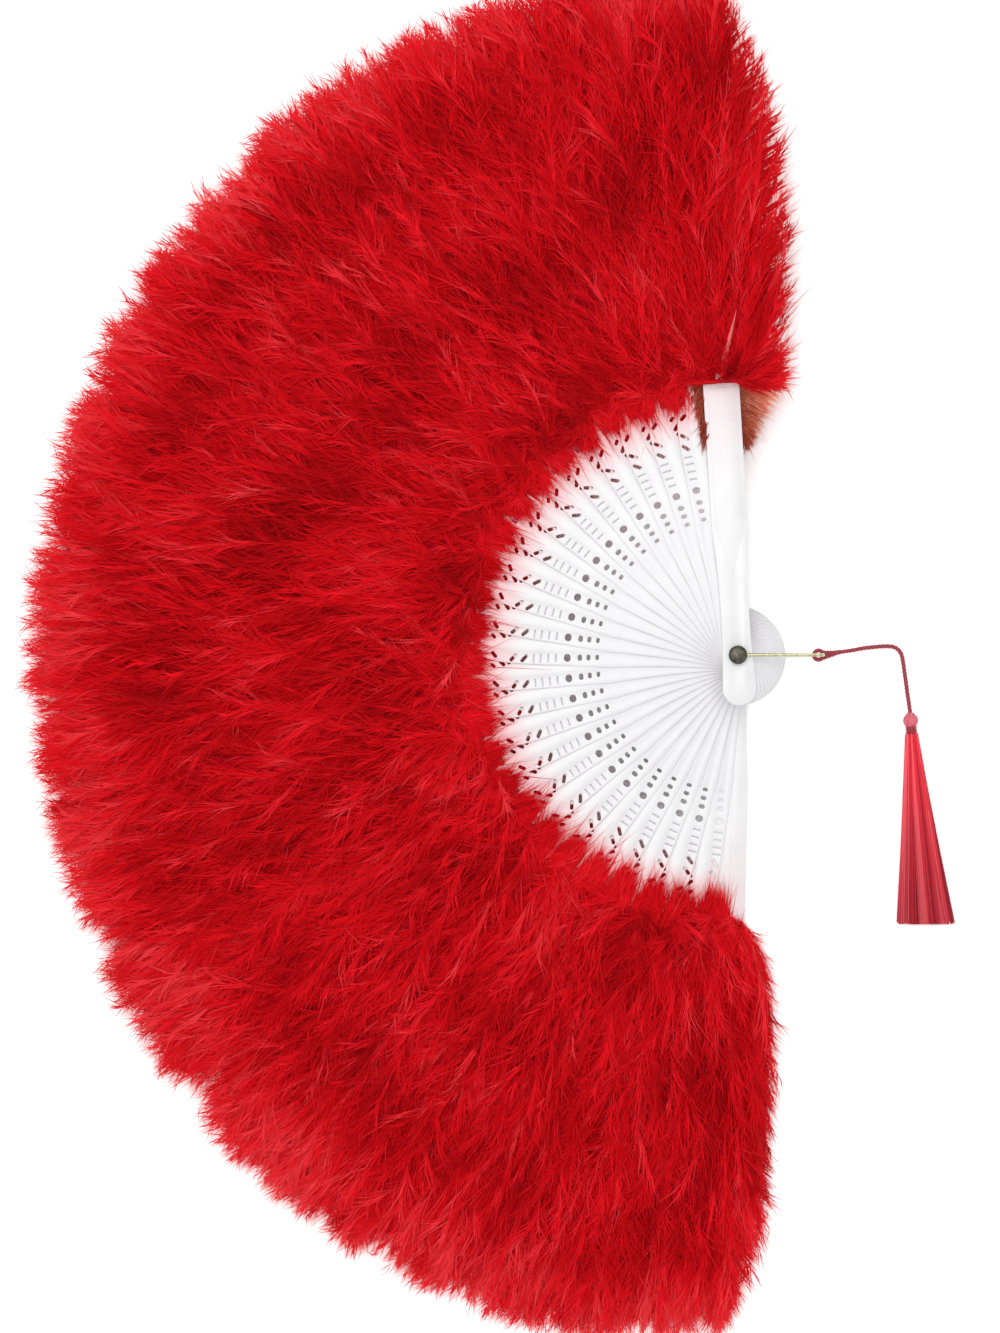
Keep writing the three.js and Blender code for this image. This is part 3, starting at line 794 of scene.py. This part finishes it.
def strand_mesh(name, controls, radius, tone, material, steps=STRAND_STEPS):
    """Three-sided strands on quadratic curves; controls has shape (strands, 3, 3).

    A strand has a ring at each step, ends in a point, and starts in one where no step is 0.
    """
    controls = np.asarray(controls, float)
    count = len(controls)
    start, end = controls[:, 0], controls[:, 2]
    rings = []
    for t in steps:
        middle, tangent = on_curve(controls, t)
        side = np.cross(tangent, (0.02, 0.03, 1))
        side /= np.linalg.norm(side, axis=1)[:, None]
        up = np.cross(side, tangent)
        for corner in range(3):
            turn = 2 * pi * corner / 3 + pi / 2
            rings.append(middle + radius[:, None] * (cos(turn) * side + sin(turn) * up))
    pointed = steps[0] > 0
    points = np.stack([start, *rings, end] if pointed else [*rings, end], axis=1)
    per_strand = points.shape[1]

    # Faces as lists of corners, each with its place across and up the bake map
    heights = [MAP_LOW + MAP_RUN * t for t in steps]
    first = 1 if pointed else 0
    last = first + 3 * (len(steps) - 1)
    edges = ((0, 1), (1, 2), (2, 0))
    faces = []
    for a, low, high in zip(range(first, last, 3), heights, heights[1:]):
        for j, n in edges:
            left = [(a + j, j, low), (a + 3 + j, j, high)]
            faces.append(left + [(a + 3 + n, j + 1, high), (a + n, j + 1, low)])
    for j, n in edges:
        tip = (last + 3, j + 0.5, MAP_HIGH)
        faces.append([(last + j, j, heights[-1]), tip, (last + n, j + 1, heights[-1])])
    if pointed:
        for j, n in edges:
            faces.append([(0, j + 0.5, MAP_LOW), (1 + j, j, heights[0]), (1 + n, j + 1, heights[0])])
    else:
        faces.append([(0, 0, MAP_LOW), (1, 2, MAP_LOW), (2, 1, MAP_LOW + 0.01)])
    sizes = [len(face) for face in faces]
    corners, across, up_map = zip(*[corner for face in faces for corner in face])

    loops = len(corners)
    index = (np.arange(count)[:, None] * per_strand + np.array(corners)).ravel()
    starts = np.concatenate([[0], np.cumsum(sizes)[:-1]])
    face_starts = (np.arange(count)[:, None] * loops + starts).ravel()
    uv = np.tile(np.stack([MAP_STEP * np.array(across), up_map], axis=1), (count, 1, 1))
    uv[:, :, 0] += np.asarray(tone)[:, None]

    mesh = bpy.data.meshes.new(name)
    mesh.vertices.add(count * per_strand)
    mesh.vertices.foreach_set("co", (points * MM).ravel())
    mesh.loops.add(count * loops)
    mesh.loops.foreach_set("vertex_index", index.astype(np.int32))
    mesh.polygons.add(count * len(sizes))
    mesh.polygons.foreach_set("loop_start", face_starts.astype(np.int32))
    layer = mesh.uv_layers.new(name=BAKE_MAP)
    layer.uv.foreach_set("vector", uv.ravel())
    mesh.update(calc_edges=True)
    mesh.materials.append(material)
    mesh.shade_flat()
    return mesh


def soft_limit(value, low, high):
    """Values eased so that they stay between low (below zero) and high."""
    return np.where(value > 0, high * np.tanh(value / high), low * np.tanh(value / low))


def scaled(strands, share):
    """Strands with their lengths times share, on the same roots."""
    root = strands[:, :1]
    strands[:, 1:] = root + (strands[:, 1:] - root) * share[:, :, None]
    return strands


def half_width(distance, side, sides):
    """Half-widths of a plume on the left, where side is above 0, or on the right."""
    return np.where(side > 0, *[np.interp(distance, *outline) for outline in sides])


def gathered(rng, locks, per_lock, loose, flyaway=0.12):
    """Strands from locks: each follows its lock with a jitter that grows along it."""
    count = len(locks) * per_lock
    strands = np.repeat(locks, per_lock, axis=0)
    stray = np.where(rng.random(count) < flyaway, 1.7, 1.0)[:, None]
    for control, share in enumerate((0.4, 0.8, 1.2)):
        strands[:, control] += rng.normal(0, loose * share, (count, 3)) * stray * (1, 1, 0.6)
    length = rng.uniform(0.8, 1.04, count)[:, None] * np.where(stray > 1, 1.2, 1.0)
    return scaled(strands, length)


def barbs_of(rng, count, sides, bow, drift, reach, lean_out, left_share, base):
    """Barbs from a rachis along X to tips spread over the plume's outline."""
    rim = RIM + reach + rng.normal(0, RIM_VARIATION, count)
    share = rng.random(count) ** lean_out
    outermost = rng.random(count) < RIM_SHARE
    share = np.where(outermost, 1 - RIM_BAND * rng.random(count), share)
    distance = RACHIS_START + (rim - RACHIS_START) * share
    side = np.where(rng.random(count) < left_share, 1.0, -1.0)
    width = half_width(distance, side, sides)
    tip_y = side * width * rng.random(count) ** np.where(outermost, 1, 0.65)
    tip_x = np.sqrt(distance**2 - tip_y**2)
    length = rng.uniform(*BARB_LENGTH, count)
    back = np.sqrt(np.maximum(length**2 - tip_y**2, (0.4 * length) ** 2))
    root_x = np.clip(tip_x - back, RACHIS_START, RACHIS_END + reach)
    drop = RIM_DROP * np.clip((distance - RIM_DROP_START) / RIM_DROP_RUN, 0, 1)
    tip_z = rng.normal(*BARB_TIP_HEIGHT, count) - drop
    bend = np.where(side > 0, bow, RIGHT_BEND) + rng.normal(0, 0.08, count)
    arch = np.abs(rng.normal(0, 3, count))
    root_y = side * rng.uniform(0.1, base, count) * np.interp(root_x, *ROOT_NARROWING)
    root = (root_x, root_y, rng.normal(0, 0.3, count))
    pull = (root_x + (1 - bend) * (tip_x - root_x), bend * tip_y, 0.5 * tip_z + arch)
    return curves(root, pull, (tip_x, tip_y + drift, tip_z))


def barbules_of(rng, barbs):
    """Tufts that leave each barb at a slant and end a little beyond its tip at most."""
    stems = np.repeat(barbs, TUFTS_PER_BARB, axis=0)
    count = len(stems)
    t = rng.uniform(0.08, 0.97, count)[:, None]
    point, along = on_curve(stems, t)
    out = rng.normal(0, 1, (count, 3)) * (1, 1, 0.7)
    out -= along * (out * along).sum(axis=1)[:, None]
    out /= np.linalg.norm(out, axis=1)[:, None]
    left = np.linalg.norm(stems[:, 2] - point, axis=1) + FRINGE * rng.random(count)
    length = np.minimum(rng.uniform(*BARBULE_LENGTH, count), left)[:, None]
    slant = rng.uniform(*BARBULE_SLANT, count)[:, None]
    tip = point + length * (along + slant * out) / np.sqrt(1 + slant**2)
    return np.stack([point, point + 0.5 * length * along, tip], axis=1)


def kept_inside(rng, strands, sides):
    """Strands shortened so that their tips stay near the plume's outline."""
    tip = strands[:, 2]
    distance = np.hypot(tip[:, 0], tip[:, 1])
    allowed = half_width(distance, tip[:, 1], sides) + SIDE_ALLOWANCE * rng.random(len(tip))
    share = np.clip(allowed / np.maximum(np.abs(tip[:, 1]), 1), 0.3, 1)[:, None]
    return scaled(strands, share)


def under_locks(rng, count):
    """Short locks that reach back below the sticks and show through their piercings."""
    tip_x = rng.uniform(74, 99, count)
    tip_y = rng.uniform(-9, 9, count)
    tip_z = -rng.uniform(1.5, 9, count)
    root_x = RACHIS_START + rng.uniform(2, 9, count)
    pull = (0.5 * (root_x + tip_x), 0.7 * tip_y, 0.8 * tip_z)
    return curves((root_x, 0.1 * tip_y, -1.0), pull, (tip_x, tip_y, tip_z))


def wisp_locks(rng, count, back, lift=0.0):
    """Short locks that lie back over the sticks beside each rib."""
    side = np.where(rng.random(count) < 0.5, 1.0, -1.0)
    tip_x = rng.triangular(86, 92, 108, count) - back
    tip_y = side * rng.uniform(1.8, 9, count)
    tip_z = rng.uniform(0.2, 3.2, count) + lift
    root_x = RACHIS_START + rng.uniform(3, 12, count)
    pull = (0.65 * root_x + 0.35 * tip_x, 0.9 * tip_y, tip_z + 2.2)
    return curves((root_x, 0.5 * side, 0.3), pull, (tip_x, tip_y, tip_z))


def vane_barbs(rng, count, start, sides, reach, outer):
    """Broad barbs that close the gaps between the strands."""
    root_x = np.tile(np.linspace(start, RACHIS_END + reach, count), 2)
    side = np.repeat([1.0, -1.0], count)
    tip_x = root_x + VANE_SLANT * rng.uniform(0.8, 1.2, len(root_x))
    width = np.maximum(half_width(tip_x, side, sides), 1)
    share = np.where(side == outer, OUTER_VANE_SHARE, VANE_SHARE)
    tip_y = side * width * share * rng.uniform(0.85, 1.15, len(root_x))
    level = rng.normal(-0.3, 0.5, len(root_x))
    pull = (0.6 * root_x + 0.4 * tip_x, 0.4 * tip_y, level)
    return curves((root_x, -VANE_OVERLAP * side, level), pull, (tip_x, tip_y, level))


def quill(reach):
    """The rachis as one stout strand."""
    start, end = RACHIS_START - 2, RACHIS_END + reach
    return np.array([[(start, 0, 0), ((start + end) / 2, 0, 0.4), (end, 0, 0)]], float)


def tone_and_shade_patches(points):
    """A smooth, slow change of tone over the open fan, from -1 to 1: patchy tone with painted shade and
    light, for the shadowed folds and lit ridges of the fluff.
    """
    x, y = points[:, 0], points[:, 1]
    first = np.sin(x / 11 + 2 * np.sin(y / 23))
    second = np.sin(y / 9 + 2.3 * np.sin(x / 19))
    return (first + second + np.sin((x - y) / 16)) / 3


def locks_of(rng, place, sides):
    """A plume's short locks round the end of its stick."""
    rear = place == REAR_PLACE
    locks = under_locks(rng, UNDER_LOCKS)
    if place == 0:
        return locks
    if rear:
        locks = locks[locks[:, 2, 1] < 0]
    back = WISP_BACK * min(max((place - WISP_BACK_START) / WISP_BACK_RUN, 0), 1)
    wisps = wisp_locks(rng, WISP_LOCKS, back)
    if rear:
        cover = wisp_locks(rng, COVER_LOCKS, back, GUARD_THICKNESS)
        cover[:, 1:, 1] *= COVER_SHARE
        wisps = np.concatenate([wisps[wisps[:, 2, 1] < 0], cover])
    if place == 1:
        wisps = wisps[wisps[:, 2, 1] > 0]
    locks = np.concatenate([locks, wisps])
    return kept_inside(rng, locks, sides) if rear else locks


def off_the_guard(rng, strands):
    """Strands of the front plume kept off the visible face of its guard."""
    over = np.abs(strands[:, :, 1] - BARE_SIDE_MIDDLE) < BLADE_HALF_WIDTH + BARE_SIDE_REACH
    edge = GUARD_END + rng.uniform(0, BARE_SIDE_JITTER, over.shape)
    strands[:, :, 0] = np.where(over, np.maximum(strands[:, :, 0], edge), strands[:, :, 0])
    return strands


def tones_of(rng, barbs, tufts, locks, others, tips):
    """Tones of all the strands of a plume, in the order of its strands."""
    barb_tone = rng.normal(*BARB_TONE, barbs)
    tuft_tone = np.repeat(barb_tone, TUFTS_PER_BARB) + rng.normal(0, TUFT_TONE_SPREAD, tufts)
    lock_tone = rng.normal(*LOCK_TONE, locks)
    tuft_tones, lock_tones = np.repeat(tuft_tone, STRANDS_PER_TUFT), np.repeat(lock_tone, STRANDS_PER_LOCK)
    # the vane's darker tone is painted shade
    tone = np.concatenate([barb_tone, tuft_tones, lock_tones, np.full(others, VANE_SHADE_TONE)])
    # random tone per strand, and painted shade and light in broad patches
    tone += rng.normal(0, STRAND_TONE_SPREAD, len(tone)) + PATCH_TONE_AND_SHADE * tone_and_shade_patches(tips)
    distance = np.linalg.norm(tips[:, :2], axis=1)
    # painted light: paler tones towards the rim
    tone += RIM_PAINTED_LIGHT * np.clip((distance - RIM_PAINTED_LIGHT_START) / RIM_PAINTED_LIGHT_RUN, 0, 1)
    return np.clip(tone, *TONE_LIMITS)


def add_fluff(place, down):
    rng = np.random.default_rng(400 + place)
    name = plume_name(place)
    share = place / REAR_PLACE
    front, rear = place == 0, place == REAR_PLACE
    guard = front or rear
    sides = (REAR_LEFT_SIDE if rear else INNER_SIDE, FRONT_RIGHT_SIDE if front else INNER_SIDE)
    bow = FRONT_BEND + (REAR_BEND - FRONT_BEND) * share
    drift = 0 if guard else FRONT_DRIFT + (REAR_DRIFT - FRONT_DRIFT) * share
    reach = rng.uniform(-REACH_VARIATION, REACH_VARIATION)
    reach -= FRONT_SHORTFALL[0] * max(1 - place / FRONT_SHORTFALL[1], 0)
    reach -= REAR_SHORTFALL[0] * max(place - REAR_PLACE + REAR_SHORTFALL[1], 0)
    count = GUARD_BARBS if guard else INNER_BARBS
    lean_out = GUARD_LEAN_OUT if guard else LEAN_OUT
    left_share = FRONT_LEFT_SHARE if front else REAR_LEFT_SHARE if rear else 0.5
    base = BLADE_HALF_WIDTH if guard else INNER_ROOT_SPREAD
    barbs = barbs_of(rng, count, sides, bow, drift, reach, lean_out, left_share, base)
    tufts = barbules_of(rng, barbs)
    if guard:
        tufts = kept_inside(rng, tufts, sides)
    locks = locks_of(rng, place, sides)
    vane_count = GUARD_VANE_BARBS if guard else VANE_BARBS
    vane_start = GUARD_END if front else VANE_START
    outer = -1 if front else 1 if rear else 0
    vane = vane_barbs(rng, vane_count, vane_start, sides, reach, outer)
    if front:
        vane[:, :, 2] += np.where(vane[:, :1, 0] < TONGUE_COVER_END, TONGUE_COVER_LIFT, 0)
    stems = np.concatenate([quill(reach), BARE_QUILLS]) if front else quill(reach)
    tuft_strands = gathered(rng, tufts, STRANDS_PER_TUFT, TUFT_JITTER)
    lock_strands = gathered(rng, locks, STRANDS_PER_LOCK, LOCK_JITTER)
    strands = np.concatenate([barbs, tuft_strands, lock_strands, vane, stems])
    if front:
        strands = off_the_guard(rng, strands)
    far = np.hypot(strands[:, 2, 0], strands[:, 2, 1])
    strands[:, 2, :2] *= np.minimum(1, TIP_LIMIT / far)[:, None]

    middle = layer_low(place) + STICK_THICKNESS / 2
    low = max(-FLUFF_DOWN, TABLE_CLEARANCE + STRAND_RADIUS - middle)
    strands[:, :, 2] = middle + soft_limit(strands[:, :, 2], low, FLUFF_UP)
    strands = turned_to(strands.reshape(-1, 3), place).reshape(-1, 3, 3)

    tone = tones_of(rng, count, len(tufts), len(locks), len(vane) + len(stems), strands[:, 2])
    radius = STRAND_RADIUS * rng.uniform(*STRAND_RADII, len(strands))
    rachis = len(strands) - len(stems)
    tone[rachis:] = BARE_QUILL_TONE if front else QUILL_TONE
    radius[rachis - len(vane) : rachis] = VANE_RADIUS
    radius[rachis:] = BARE_QUILL_RADIUS
    radius[rachis] = QUILL_RADIUS
    mesh = strand_mesh(name, strands, radius, tone, down)
    piece = add_piece(f"fluffy_{name}", mesh, stick_name(place), "feather", name)
    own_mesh(piece)


RED_STOPS = [
    (0.06, (0.97, 0.27, 0.28)),
    (0.09, (0.48, 0.0, 0.003)),
    (0.5, (0.87, 0.003, 0.012)),
    (0.78, (0.97, 0.014, 0.032)),
    (1.0, (1.0, 0.08, 0.10)),
]
BROWN_STOPS = [
    (0.1, (0.20, 0.025, 0.008)),
    (0.45, (0.60, 0.14, 0.07)),
    (0.75, (0.93, 0.48, 0.34)),
    (0.95, (0.98, 0.82, 0.66)),
]


def add_plumes():
    down = strand_material("red_down", RED_STOPS, 0.95, 1.0, 0.7, 0.1)
    for place in range(REAR_PLACE + 1):
        add_fluff(place, down)


def add_guard_down():
    """Brown underdown that shows beside the front guard, below its plume."""
    rng = np.random.default_rng(77)
    count = DOWN_LOCKS
    side = np.where(rng.random(count) < DOWN_RIGHT_SHARE, -1.0, 1.0)
    along = rng.random(count)
    x = DOWN_START - DOWN_RUN * along
    right, left = [wide * (1 - loss * along) + more for wide, loss, more in (DOWN_RIGHT, DOWN_LEFT)]
    wide = np.where(side < 0, right, left)
    root = (x + 5, side * (BLADE_HALF_WIDTH - 0.3), DOWN_LEVEL)
    out = side * (BLADE_HALF_WIDTH + wide * rng.uniform(0.25, 1, count))
    locks = curves(root, root, (x - 1, out, rng.uniform(-DOWN_SINK, 1, count)))
    locks[:, 1] = (locks[:, 0] + locks[:, 2]) / 2 + rng.normal(0, 1, (count, 3)) + (2, 0, 1)
    strands = gathered(rng, locks, STRANDS_PER_DOWN_LOCK, DOWN_JITTER)
    strands[:, :, 2] += layer_low(0)
    spread = (np.abs(strands[:, 2, 1]) - BLADE_HALF_WIDTH) / 10
    tone = np.clip(0.14 + 0.42 * spread + rng.normal(0, 0.1, len(strands)), 0.1, 0.95)
    strands = turned_to(strands.reshape(-1, 3), 0).reshape(-1, 3, 3)
    brown = strand_material("brown_down", BROWN_STOPS, 0.7, 1.3, 0.75, 0.3)
    radius = np.full(len(strands), DOWN_RADIUS)
    mesh = strand_mesh("guard_down", strands, radius, tone, brown)
    piece = add_piece("guard_down", mesh, "front_guard", "feather")
    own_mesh(piece)


# Rivet and bail
def add_rivet():
    dark = metal_material("rivet_brass", (0.035, 0.034, 0.03), (0.12, 0.112, 0.09), 0.42)
    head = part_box("rivet_pin")[0].z / MM
    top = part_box("rivet_pin")[1].z / MM
    shoulder = head + RIVET_HEAD_THICKNESS
    rim = RIVET_HEAD_RADIUS - RIVET_CHAMFER
    profile = [(0, head), (rim, head), (RIVET_HEAD_RADIUS, head + RIVET_CHAMFER)]
    profile += [(RIVET_HEAD_RADIUS, shoulder - RIVET_CHAMFER), (rim, shoulder)]
    profile += [(PIN_RADIUS, shoulder), (PIN_RADIUS, top), (0, top)]
    mesh = to_mesh("pin", *lathe(profile, RIVET_SIDES), dark)
    add_piece("turned_rivet_pin", mesh, "rear_guard", "rivet_metal", "rivet_pin")
    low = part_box("rivet_cap")[0].z / MM
    dome = CAP_HEIGHT - CAP_RIM
    profile = [(0, top + SEAT_GAP), (RIVET_HOLE, top + SEAT_GAP), (RIVET_HOLE, low)]
    profile += [(CAP_RADIUS - CAP_CHAMFER, low), (CAP_RADIUS, low + CAP_CHAMFER)]
    for turn in np.linspace(0, pi / 2, 10, endpoint=False):
        profile.append((CAP_RADIUS * cos(turn), low + CAP_RIM + dome * sin(turn)))
    profile.append((0, low + CAP_HEIGHT))
    mesh = to_mesh("cap", *lathe(profile, RIVET_SIDES), dark)
    add_piece("domed_rivet_cap", mesh, "rear_guard", "rivet_metal", "rivet_cap")


def add_bail():
    brass = metal_material("bail_wire", (0.36, 0.34, 0.20), (0.55, 0.52, 0.34), 0.28)
    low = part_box("bail")[0].z / MM + WIRE_RADIUS
    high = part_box("bail")[1].z / MM - WIRE_RADIUS
    route = [(EYE_RADIUS, low)]
    corner = BAIL_REACH - BAIL_CORNER
    turns = np.linspace(0, pi / 2, CORNER_STEPS + 1)
    for turn in turns:
        route.append((corner + BAIL_CORNER * sin(turn), low + BAIL_CORNER * (1 - cos(turn))))
    for turn in turns:
        route.append((corner + BAIL_CORNER * cos(turn), high - BAIL_CORNER * (1 - sin(turn))))
    route.append((EYE_RADIUS, high))
    parts = [tube([(x, 0, z) for x, z in route], WIRE_RADIUS, 14)]
    for z in (low, high):
        ring = [(x, y, z) for x, y in circle(EYE_RADIUS, 32)]
        parts.append(tube(ring, WIRE_RADIUS, 12, closed=True))
    mesh = to_mesh("bail", *joined(*parts), brass)
    add_piece("wire_bail", mesh, "bail", "bail_brass", "bail")


# Cord and tassel
def helix(start, end, radius, end_radius, turns, steps):
    """Points of a helix round the line from start to end."""
    start, end = np.array(start, float), np.array(end, float)
    axis = (end - start) / np.linalg.norm(end - start)
    side = np.cross(axis, (0, 0.2, 1))
    side /= np.linalg.norm(side)
    up = np.cross(axis, side)
    t = np.linspace(0, 1, int(turns * steps) + 1)[:, None]
    turn = 2 * pi * turns * t
    radius = radius + (end_radius - radius) * t
    return start + (end - start) * t + radius * (np.cos(turn) * side + np.sin(turn) * up)


def tassel_axis():
    """Top of the tassel's head and the direction that it hangs in."""
    x, y, _ = CORD_ROUTE[-1]
    lean = radians(TASSEL_LEAN)
    return np.array([x, y - SEAT_GAP, HEAD_RADIUS]), np.array([sin(lean), -cos(lean), 0])


def add_knot(thread):
    loop_radius = WIRE_RADIUS + SEAT_GAP + CORD_RADIUS
    loop = [(BAIL_REACH + x, y, KNOT_HEIGHT + LOOP_TILT * y) for x, y in circle(loop_radius, 40)]
    start = (BAIL_REACH + loop_radius + 0.3, 0, KNOT_HEIGHT)
    end = (KNOT_END + 0.3, 0.7, KNOT_HEIGHT)
    wraps = helix(start, end, *KNOT_RADII, KNOT_TURNS, 18)
    core = [(start[0] + 0.2, 0, KNOT_HEIGHT), (KNOT_END, 0.8, KNOT_HEIGHT), CORD_ROUTE[1]]
    parts = [
        tube(loop, CORD_RADIUS * 0.9, 12, closed=True),
        tube(wraps, WRAP_RADIUS, 10),
        tube(smooth_line(core, 6), KNOT_CORE_RADIUS, 10),
    ]
    mesh = to_mesh("knot", *joined(*parts), thread)
    return add_piece("wrapped_knot", mesh, "tassel", "tassel_thread", "cord_knot")


def add_head(pink, thread):
    """A button knot of interlaced turns over a core, and the neck bound below it."""
    top, down = tassel_axis()
    across = np.array([-down[1], down[0], 0])
    up = np.array([0, 0, 1.0])

    def on_button(t, spins):
        """Points round the button at a share t of its length."""
        centre = top + down * HEAD_LENGTH * (1 - cos(t * pi)) / 2
        reach = BUTTON_CORE * HEAD_RADIUS * sin(t * pi)
        return [centre + reach * (cos(a) * across + sin(a) * up) for a in spins]

    around = np.arange(16) * 2 * pi / 16
    parts = [loft([on_button(i / 12, around) for i in range(1, 12)])]
    for strand in range(BUTTON_STRANDS):
        first = 2 * pi * strand / BUTTON_STRANDS
        line = [on_button(t, [first + BUTTON_TWIST * t])[0] for t in np.linspace(*BUTTON_ENDS, 22)]
        parts.append(tube(line, BINDING_RADIUS, 8))
    button_faces = sum(len(part_faces) for _, part_faces in parts)
    neck_start = top + down * (HEAD_LENGTH - 0.5)
    neck_end = top + down * (HEAD_LENGTH + NECK_LENGTH - 0.3)
    binding = NECK_RADIUS - BINDING_RADIUS
    parts.append(tube(helix(neck_start, neck_end, binding, binding, NECK_TURNS, 20), BINDING_RADIUS, 8))
    parts.append(tube(smooth_line([neck_start, neck_end], 5), NECK_RADIUS - 0.5, 12))
    mesh = recolour(to_mesh("head", *joined(*parts), pink), thread, button_faces)
    return add_piece("button_head", mesh, "tassel", "tassel_thread", "tassel_head")


def add_skirt():
    """Threads that fan out from the neck and lie flat on the table, cut to one line."""
    rng = np.random.default_rng(31)
    top, down = tassel_axis()
    across = np.array([-down[1], down[0], 0])
    start = HEAD_LENGTH + NECK_LENGTH - 0.6
    spot = np.sqrt(rng.random(THREADS))
    turn = rng.random(THREADS) * 2 * pi
    x, z = spot * np.cos(turn), spot * np.sin(turn)
    reach = [start, start + SKIRT_BEND * SKIRT_LENGTH, start + SEAT_GAP + SKIRT_LENGTH]
    widths = [SKIRT_TOP[0], SKIRT_BEND * (SKIRT_TOP[0] + SKIRT_END[0]), SKIRT_END[0]]
    heights = [SKIRT_TOP[1], (SKIRT_TOP[1] + SKIRT_END[1]) / 2, SKIRT_END[1]]
    controls = []
    for along, width, height in zip(reach, widths, heights):
        wander = rng.normal(0, 0.35 if along > start else 0.02, THREADS)
        offset = x * width + wander
        cut = tan(radians(TASSEL_LEAN)) if along == reach[-1] else 0
        run = along + cut * offset
        level = THREAD_RADIUS + height * (1 + z) * 0.95 - HEAD_RADIUS
        if along == start:
            level = z * height
        flat = np.outer(run, down) + np.outer(offset, across)
        controls.append(top + flat + level[:, None] * np.array([0, 0, 1.0]))
    # Painted highlights and shade: lighter and darker bands across the skirt for its silky streaks, with
    # random tone per thread
    tone = np.clip(0.5 + 0.3 * np.sin(9 * x + 2) + rng.normal(0, 0.14, THREADS), 0.1, 0.97)
    stops = [(0.1, (0.26, 0.004, 0.02)), (0.5, (0.66, 0.035, 0.06)), (0.95, (0.92, 0.2, 0.24))]
    silk = strand_material("skirt_silk", stops, 1.4, 0.88, 0.42, 0.5)
    radius = np.full(THREADS, THREAD_RADIUS)
    strands = np.stack(controls, axis=1)
    mesh = strand_mesh("skirt", strands, radius, tone, silk, THREAD_STEPS)
    return add_piece("thread_skirt", mesh, "tassel", "tassel_thread", "tassel_skirt")


def add_tassel():
    thread = cloth_material("tassel_thread", (0.20, 0.008, 0.02), (0.42, 0.03, 0.05), 1400, 0.35)
    pink = cloth_material("button_thread", (0.55, 0.07, 0.11), (0.85, 0.19, 0.25), 1400, 0.5)
    top, down = tassel_axis()
    inside = [top + down * reach for reach in CORD_INSIDE]
    line = smooth_line(CORD_ROUTE + [tuple(p) for p in inside], 9)
    mesh = to_mesh("cord", *tube(line, CORD_RADIUS, 12, CORD_STRANDS, CORD_LAY), thread)
    cord = add_piece("twisted_cord", mesh, "tassel", "tassel_thread", "tassel_cord")
    add_knot(thread)
    add_head(pink, thread)
    add_skirt()


# Stage
def add_camera():
    data = bpy.data.cameras.new("camera")
    data.lens = LENS
    data.sensor_width = SENSOR
    camera = linked("camera", data)
    x = (PHOTO_WIDTH / 2 - RIVET_PIXEL[0]) * PIXEL
    y = (RIVET_PIXEL[1] - PHOTO_HEIGHT / 2) * PIXEL
    distance = PHOTO_HEIGHT * PIXEL * LENS / SENSOR
    camera.location = (x * MM, y * MM, (VIEW_PLANE + distance) * MM)
    bpy.context.scene.camera = camera


def seen_directly(tree):
    """1 for camera, glossy and transmission rays, 0 for the light that falls on the object."""
    path = node(tree, "ShaderNodeLightPath").outputs
    first = maths(tree, "MAXIMUM", path["Is Camera Ray"], path["Is Glossy Ray"])
    return maths(tree, "MAXIMUM", first, path["Is Transmission Ray"])


def add_stage():
    material, tree = blank_material("pale_floor")
    tint = noise(tree, object_coordinates(tree), 3)
    pale = ramp(tree, tint, [(0.3, (0.9, 0.9, 0.9)), (0.7, (0.92, 0.92, 0.92))])
    seen = (FLOOR_SEEN, FLOOR_SEEN, FLOOR_SEEN, 1)
    mix = node(tree, "ShaderNodeMixRGB", {"Fac": seen_directly(tree), "Color1": pale}, color2=seen)
    floor_shader = node(tree, "ShaderNodeBsdfDiffuse", {"Color": mix.outputs["Color"]})
    show(tree, floor_shader)
    half = FLOOR_HALF
    corners = [(-half, -half, 0), (half, -half, 0), (half, half, 0), (-half, half, 0)]
    mesh = bpy.data.meshes.new("floor")
    mesh.from_pydata(corners, [], [(0, 1, 2, 3)])
    mesh.materials.append(material)
    floor = linked("floor", mesh)
    floor.location.z = -FLOOR_DROP

    world = bpy.data.worlds.new("studio")
    bpy.context.scene.world = world
    world.use_nodes = True
    tree = world.node_tree
    tree.nodes.clear()
    fill, backdrop = [
        node(tree, "ShaderNodeBackground", color=(1, 1, 1, 1), strength=strength) for strength in (FILL, 1)
    ]
    mix = node(
        tree,
        "ShaderNodeMixShader",
        {0: seen_directly(tree), 1: fill.outputs["Background"], 2: backdrop.outputs["Background"]},
    )
    show(tree, mix, "ShaderNodeOutputWorld")

    lamp = bpy.data.lights.new("key", "AREA")
    lamp.energy = LAMP_POWER
    lamp.size = LAMP_SIZE
    key = linked("key", lamp)
    key.location = LAMP_PLACE
    key.rotation_euler = (Vector(LAMP_AIM) - key.location).to_track_quat("-Z", "Y").to_euler()


bpy.context.scene.view_settings.view_transform = "Standard"
bpy.context.scene.cycles.max_bounces = 16
bpy.context.scene.cycles.diffuse_bounces = 12
add_camera()
add_stage()
add_tassel()
add_bail()
add_rivet()
add_sticks()
add_ribbon()
add_plumes()
add_guard_down()
